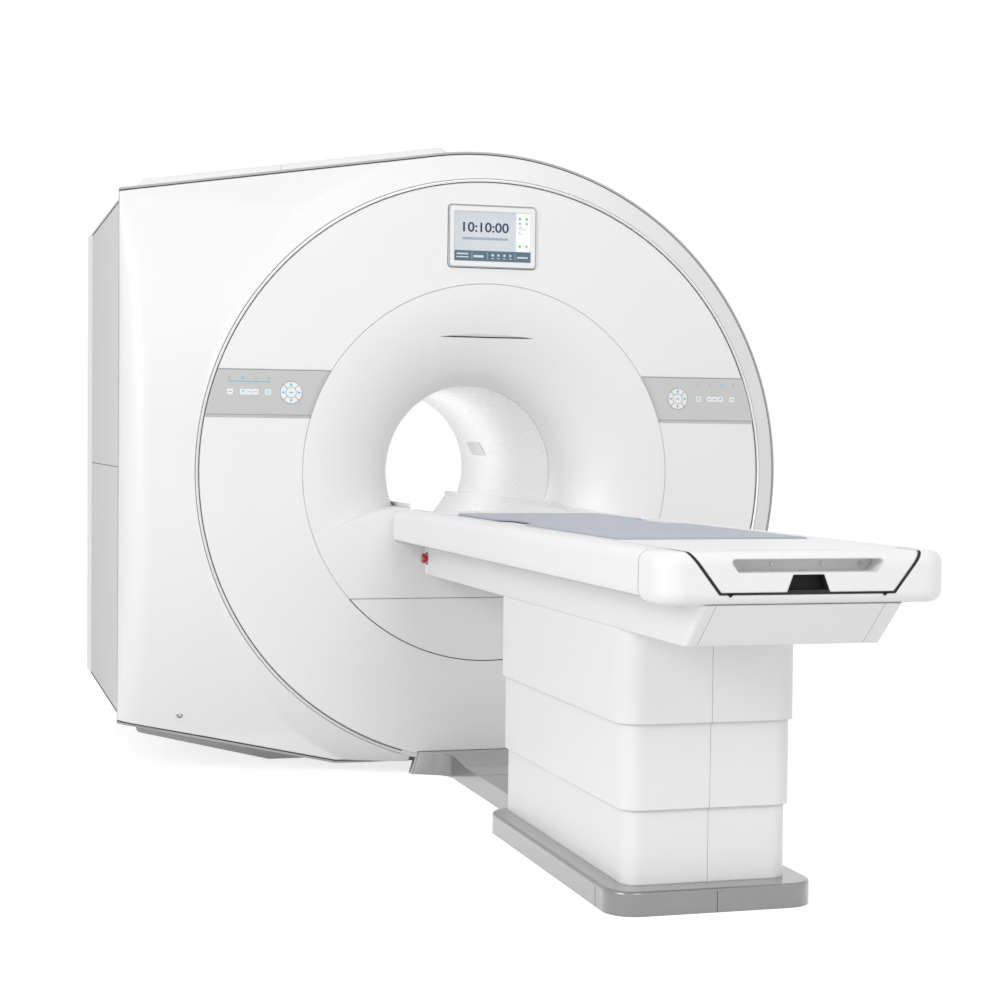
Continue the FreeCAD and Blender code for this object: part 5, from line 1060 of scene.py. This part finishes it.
class SCANNER_OT_table(bpy.types.Operator):
    """Lay soft lines of painted shade in the table's seams, and fit the black strip round its top, the notch
    liner, screws and the stops' rings
    """

    bl_idname = "scanner.table"
    bl_label = "Table fittings"

    def execute(self, context):
        sizes = context.scene.scanner_sizes
        strips = both_sides(self.gap_strip(sizes.gap_strip)) + self.gap_floor(sizes.gap_strip)
        add_piece("top_gap_strip", strips, "belt_black", "table")
        # The line where the cap meets the table's side is a soft line of painted shade
        path, out = side_line(CAP_BACK + CAP_SEAM_SET, TOP_BOX[1].x + CAP_GAP, CAP_SEAM_END)
        seam = bar(path, ALONG, out, 0.8 * sizes.seam, LINE_RISE)
        add_piece("cap_seam", both_sides([seam]), "soft_seam_shade", "table")
        add_piece("notch_liner", self.notch_liner(), "belt_black", "sliding_top")
        back = TABLE_FOOT_Y + HANDLE_BACK
        screws = [plate(round_outline(x, TABLE_TOP - HANDLE_DROP, radius=5 * MM), back, depth=2.4 * MM)
                  for x in HANDLE_SCREWS]
        add_piece("slot_screws", screws, "steel", "sliding_top")
        # The hairline across the top is drawn as a soft line of painted shade
        path = straight(TOP_LINE, TABLE_FOOT_Y + TOP_LINE_BACK, TABLE_TOP)
        line = bar(path, ALONG, UP, width=1.4 * MM, height=HAIR_RISE)
        add_piece("top_line", [line], "soft_seam_shade", "sliding_top")
        # The seams in the tray's slant are soft lines of painted shade
        low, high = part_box("table_tray")
        fall = np.array([0, TRAY_FALL_LENGTH, low.z - high.z])
        out = np.cross(fall, RIGHT) / np.linalg.norm(fall)
        lines = []
        for x in TRAY_SEAMS:
            path = np.array([x, low.y, high.z]) + np.outer((0.02, 0.97), fall)
            lines.append(bar(path, RIGHT, out, width=0.9 * MM, height=LINE_RISE))
        add_piece("tray_seams", lines, "soft_seam_shade", "table")
        rings = []
        for side, out in (("left", -1), ("right", 1)):
            middle = box_of(side + "_emergency_stop")[2]
            place = (out * STOP_RING_PLACE, middle.y, middle.z)
            ring = hoop(place, radius=18.6 * MM, width=3.4 * MM, height=SEAL_AND_SHADE_RISE, out=(out, 0, 0))
            rings.append(ring)
        add_piece("stop_rings", rings, "belt_black", "table")
        return {"FINISHED"}

    def gap_strip(self, width):
        """Right-hand strip in the gap: up the slant, round the top edge, then back along the top."""
        turn = np.concatenate([np.zeros(6), np.linspace(0, math.pi / 2, 9)[1:], [math.pi / 2]])
        z = TABLE_TOP - TABLE_ROUND * (1 - np.sin(turn))
        z[:6] = np.linspace(GAP_FLOOR, TABLE_TOP - TABLE_ROUND, 6)
        y = TABLE_FOOT_Y + TABLE_ROUND * (1 - np.cos(turn))
        y[-1] = CAP_BACK
        x = TOP_FLOOR_HALF + TOP_LEAN * (z - STRIP_SUNK - TOP_BOX[0].z) + CAP_GAP / 2
        out = np.column_stack([np.zeros(len(turn)), -np.cos(turn), np.sin(turn)])
        path = np.column_stack([x, y + STRIP_SUNK, z - STRIP_SUNK])
        wide = bar(path, RIGHT, out, CAP_GAP - 0.8 * MM, STRIP_RISE)
        reach = (CAP_BACK, CAP_BACK + GAP_STRIP_LENGTH)
        path = straight(TOP_BOX[1].x + 2 * MM, reach, TABLE_TOP - STRIP_SUNK)
        return [wide, bar(path, RIGHT, UP, width, STRIP_RISE)]

    def gap_floor(self, width):
        """Strip under the sliding top's foot end, with its two small dips."""
        reach = TOP_FLOOR_HALF + CAP_GAP / 2
        strip = bar(straight((-reach, reach), TABLE_FOOT_Y, GAP_FLOOR), UP, FORWARD, 1.5 * width, SEAL_AND_SHADE_RISE)
        dip = np.array([(-9, 0), (0, -8), (9, 0)]) * MM
        return [strip] + [plate(dip + (x, GAP_FLOOR), TABLE_FOOT_Y, SEAL_AND_SHADE_RISE) for x in DIPS]

    def notch_liner(self):
        """Black lining of the notch in the top's foot end: its four walls, its back and its sill."""
        low = TOP_BOX[0].z + NOTCH_SILL
        middle = NOTCH.mean(axis=0)
        inner = middle + (NOTCH - middle) * 0.965
        y = TABLE_FOOT_Y + SEAL_AND_SHADE_RISE
        near, lip = [np.insert(outline, 1, y, axis=1) for outline in (
            NOTCH * (0.998, 0.99) + (0, low + 0.1 * MM), inner + (0, low))]
        deep = np.array([0, NOTCH_DEPTH, 0])
        walls = np.concatenate([near, lip, lip + deep, near + deep])
        back = plate(inner + (0, low), y + NOTCH_DEPTH + 1.2 * MM, depth=1 * MM)
        sill = np.array([(-50.5, -3.6), (50.5, -3.6), (49, 0), (-49, 0)]) * MM + (0, low)
        return [(walls, grid_faces(4, 4, True)), back, plate(sill, TABLE_FOOT_Y, SEAL_AND_SHADE_RISE)]


# ---------------------------------------------------------------- lift and foot covers

# Each shroud of the lift and the body that it rides on
SHROUDS = {"upper_shroud": "table", "middle_shroud": "lift_middle", "lower_shroud": "gantry"}
# Seam in the foot cover's side: its distance from the cover's foot end
SIDE_SEAM_BACK = 127 * MM
# Bridge cover over the cables: half its width, its height, and its seam's distance in front of the housing
BRIDGE_HALF = 139 * MM
BRIDGE_TOP = 59 * MM
BRIDGE_SEAM_OUT = 410 * MM


class SCANNER_OT_foot_covers(bpy.types.Operator):
    """Lay lines of painted shade in the seams of the lift's shrouds and of the covers on the floor"""

    bl_idname = "scanner.foot_covers"
    bl_label = "Lift and foot covers"

    def execute(self, context):
        width = 0.8 * context.scene.scanner_sizes.seam
        # Each shroud's seam is a soft line of painted shade
        for name, body in SHROUDS.items():
            low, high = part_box(name)
            path = straight(0, low.y, (low.z, high.z - 2 * MM))
            seam = bar(path, RIGHT, FORWARD, 0.5 * width, LINE_RISE)
            add_piece(name + "_seam", [seam], "soft_seam_shade", body)
        low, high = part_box("base_cover")
        # The seams of the foot cover and the bridge are dark strips of painted shade
        rise = (low.z, high.z - 8 * MM)
        front = bar(straight(0, low.y, rise), RIGHT, FORWARD, width, LINE_RISE)
        side = bar(straight(low.x, low.y + SIDE_SEAM_BACK, rise), ALONG, LEFT, width, LINE_RISE)
        add_piece("base_seams", [front, side], "seam")
        path = straight((-BRIDGE_HALF, BRIDGE_HALF), FRONT_Y - BRIDGE_SEAM_OUT, BRIDGE_TOP)
        add_piece("bridge_seam", [bar(path, ALONG, UP, width, SEAM_RISE)], "seam")
        return {"FINISHED"}


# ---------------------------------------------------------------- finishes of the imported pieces

class SCANNER_OT_finishes(bpy.types.Operator):
    """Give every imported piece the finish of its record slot"""

    bl_idname = "scanner.finishes"
    bl_label = "Finishes"

    def execute(self, context):
        made = finishes()
        for row in frame["record"]["subparts"]:
            for slot in frame["nodes"][row["node"]].material_slots:
                slot.material = made[row["material_slot"]]
        # The small plate in the bore is a shade darker than the tube round it
        for slot in frame["nodes"]["bore_plate"].material_slots:
            slot.material = made["side_grey"]
        return {"FINISHED"}


class SCANNER_OT_stage(bpy.types.Operator):
    """Set up the pale floor, the soft light and the camera"""

    bl_idname = "scanner.stage"
    bl_label = "Stage"

    def execute(self, context):
        settings = context.scene.scanner_stage
        make_floor()
        make_room(context.scene, settings.room_light)
        make_lights()
        make_camera(context.scene, settings)
        context.scene.view_settings.view_transform = "Standard"
        return {"FINISHED"}


def seen_directly(tree):
    """1 for rays of the camera, of gloss and of glass, and 0 for the light that falls on things."""
    path = add_node(tree, "LightPath")
    either = add_node(tree, "Math", {"operation": "MAXIMUM"},
                      {0: path.outputs["Is Camera Ray"], 1: path.outputs["Is Glossy Ray"]})
    return add_node(tree, "Math", {"operation": "MAXIMUM"},
                    {0: either.outputs[0], 1: path.outputs["Is Transmission Ray"]}).outputs[0]


# The floor lies a hair below the object, so that both never share a plane
FLOOR_HALF = 40.0
FLOOR_DROP = 0.5 * MM


def make_floor():
    """Pale floor that looks white to the camera and keeps the object's shadow."""
    material, tree, output, _ = start_material("Studio_floor_white")
    light = add_node(tree, "BsdfDiffuse", {"Color": (0.8, 0.8, 0.8, 1)})
    shadowed = add_node(tree, "BsdfDiffuse", {"Color": (0.5, 0.5, 0.5, 1)})
    glow = add_node(tree, "Emission", {"Strength": 0.76})
    white = add_node(tree, "AddShader", None, {0: shadowed.outputs[0], 1: glow.outputs[0]})
    mix = add_node(tree, "MixShader", None,
                   {0: seen_directly(tree), 1: light.outputs[0], 2: white.outputs[0]})
    tree.links.new(mix.outputs[0], output.inputs[0])
    mesh = bpy.data.meshes.new("floor")
    corners = rectangle(0, 0, 2 * FLOOR_HALF, 2 * FLOOR_HALF)
    mesh.from_pydata([(x, y, -FLOOR_DROP) for x, y in corners], [], [(0, 1, 2, 3)])
    mesh.materials.append(material)
    floor = bpy.data.objects.new("floor", mesh)
    bpy.context.scene.collection.objects.link(floor)


def make_room(scene, strength):
    """White room: white where it is seen, and softer where it lights the object."""
    world = bpy.data.worlds.new("Studio_room")
    world.use_nodes = True
    tree = world.node_tree
    tree.nodes.clear()
    seen = add_node(tree, "MapRange", {"To Min": strength, "To Max": 1.0}, {"Value": seen_directly(tree)})
    room = add_node(tree, "Background", {"Color": (1, 1, 1, 1)}, {"Strength": seen.outputs[0]})
    output = add_node(tree, "OutputWorld")
    tree.links.new(room.outputs[0], output.inputs[0])
    scene.world = world


LAMPS = (
    # name, place, aim, width, power
    ("key_light", (-5.6, -5.4, 3.0), (0.0, -1.6, 1.0), 2.6, 138.0),
    ("front_light", (0.0, -8.0, 4.4), (0.0, -1.6, 1.0), 2.6, 65.0),
    ("fill_light", (3.6, -7.0, 2.2), (0.2, -1.5, 0.9), 3.0, 14.0),
    ("top_light", (0.0, -2.2, 5.2), (0.0, -2.2, 0.0), 4.0, 26.0),
    ("bore_light", (-0.17, 0.20, 1.16), (0.2, 0.20, 0.9), 0.28, 1.1),
)


def make_lights():
    """Soft area lamps round the object."""
    for name, place, aim, width, power in LAMPS:
        lamp = bpy.data.lights.new(name, "AREA")
        lamp.size = width
        lamp.energy = power
        holder = bpy.data.objects.new(name, lamp)
        holder.location = place
        holder.rotation_euler = (Vector(aim) - Vector(place)).to_track_quat("-Z", "Y").to_euler()
        bpy.context.scene.collection.objects.link(holder)


def make_camera(scene, settings):
    """Camera at the photograph's place and angle, without shift."""
    camera = bpy.data.objects.new("camera", bpy.data.cameras.new("camera"))
    camera.data.lens = settings.lens
    camera.data.sensor_width = 36
    camera.data.clip_end = 200
    turn, tilt, roll = settings.yaw, settings.pitch, settings.roll
    ahead = Vector((math.sin(turn) * math.cos(tilt), math.cos(turn) * math.cos(tilt), -math.sin(tilt)))
    level = Vector((math.cos(turn), -math.sin(turn), 0))
    over = level.cross(ahead)
    right = math.cos(roll) * level + math.sin(roll) * over
    up = math.cos(roll) * over - math.sin(roll) * level
    turned = Matrix((right, up, -ahead)).transposed().to_4x4()
    camera.matrix_world = Matrix.Translation(Vector(settings.place)) @ turned
    scene.collection.objects.link(camera)
    scene.camera = camera


class SCANNER_PT_looks(bpy.types.Panel):
    """Sidebar panel that lists the steps"""

    bl_idname = "SCANNER_PT_looks"
    bl_label = "Scanner"
    bl_space_type = "VIEW_3D"
    bl_region_type = "UI"
    bl_category = "Scanner"

    def draw(self, context):
        for step in STEPS:
            self.layout.operator(step.bl_idname)
        for name, group in GROUPS.items():
            box = self.layout.box()
            for setting in group.__annotations__:
                box.prop(getattr(context.scene, name), setting)


GROUPS = {"scanner_finishes": ScannerFinishes, "scanner_sizes": ScannerSizes, "scanner_stage": ScannerStage}
STEPS = (SCANNER_OT_finishes, SCANNER_OT_mats, SCANNER_OT_display, SCANNER_OT_key_marks,
         SCANNER_OT_front_cover, SCANNER_OT_seams, SCANNER_OT_table, SCANNER_OT_foot_covers,
         SCANNER_OT_stage)


def register():
    """Registers the groups, the steps and the panel."""
    for name, group in GROUPS.items():
        bpy.utils.register_class(group)
        setattr(bpy.types.Scene, name, bpy.props.PointerProperty(type=group))
    for step in STEPS + (SCANNER_PT_looks,):
        bpy.utils.register_class(step)


def unregister():
    """Takes the panel, the steps and the groups out again."""
    for step in (SCANNER_PT_looks,) + STEPS[::-1]:
        bpy.utils.unregister_class(step)
    for name, group in GROUPS.items():
        delattr(bpy.types.Scene, name)
        bpy.utils.unregister_class(group)


def main():
    """Makes everything in order."""
    register()
    for step in STEPS:
        area, name = step.bl_idname.split(".")
        getattr(getattr(bpy.ops, area), name)()


if __name__ == "__main__":
    main()
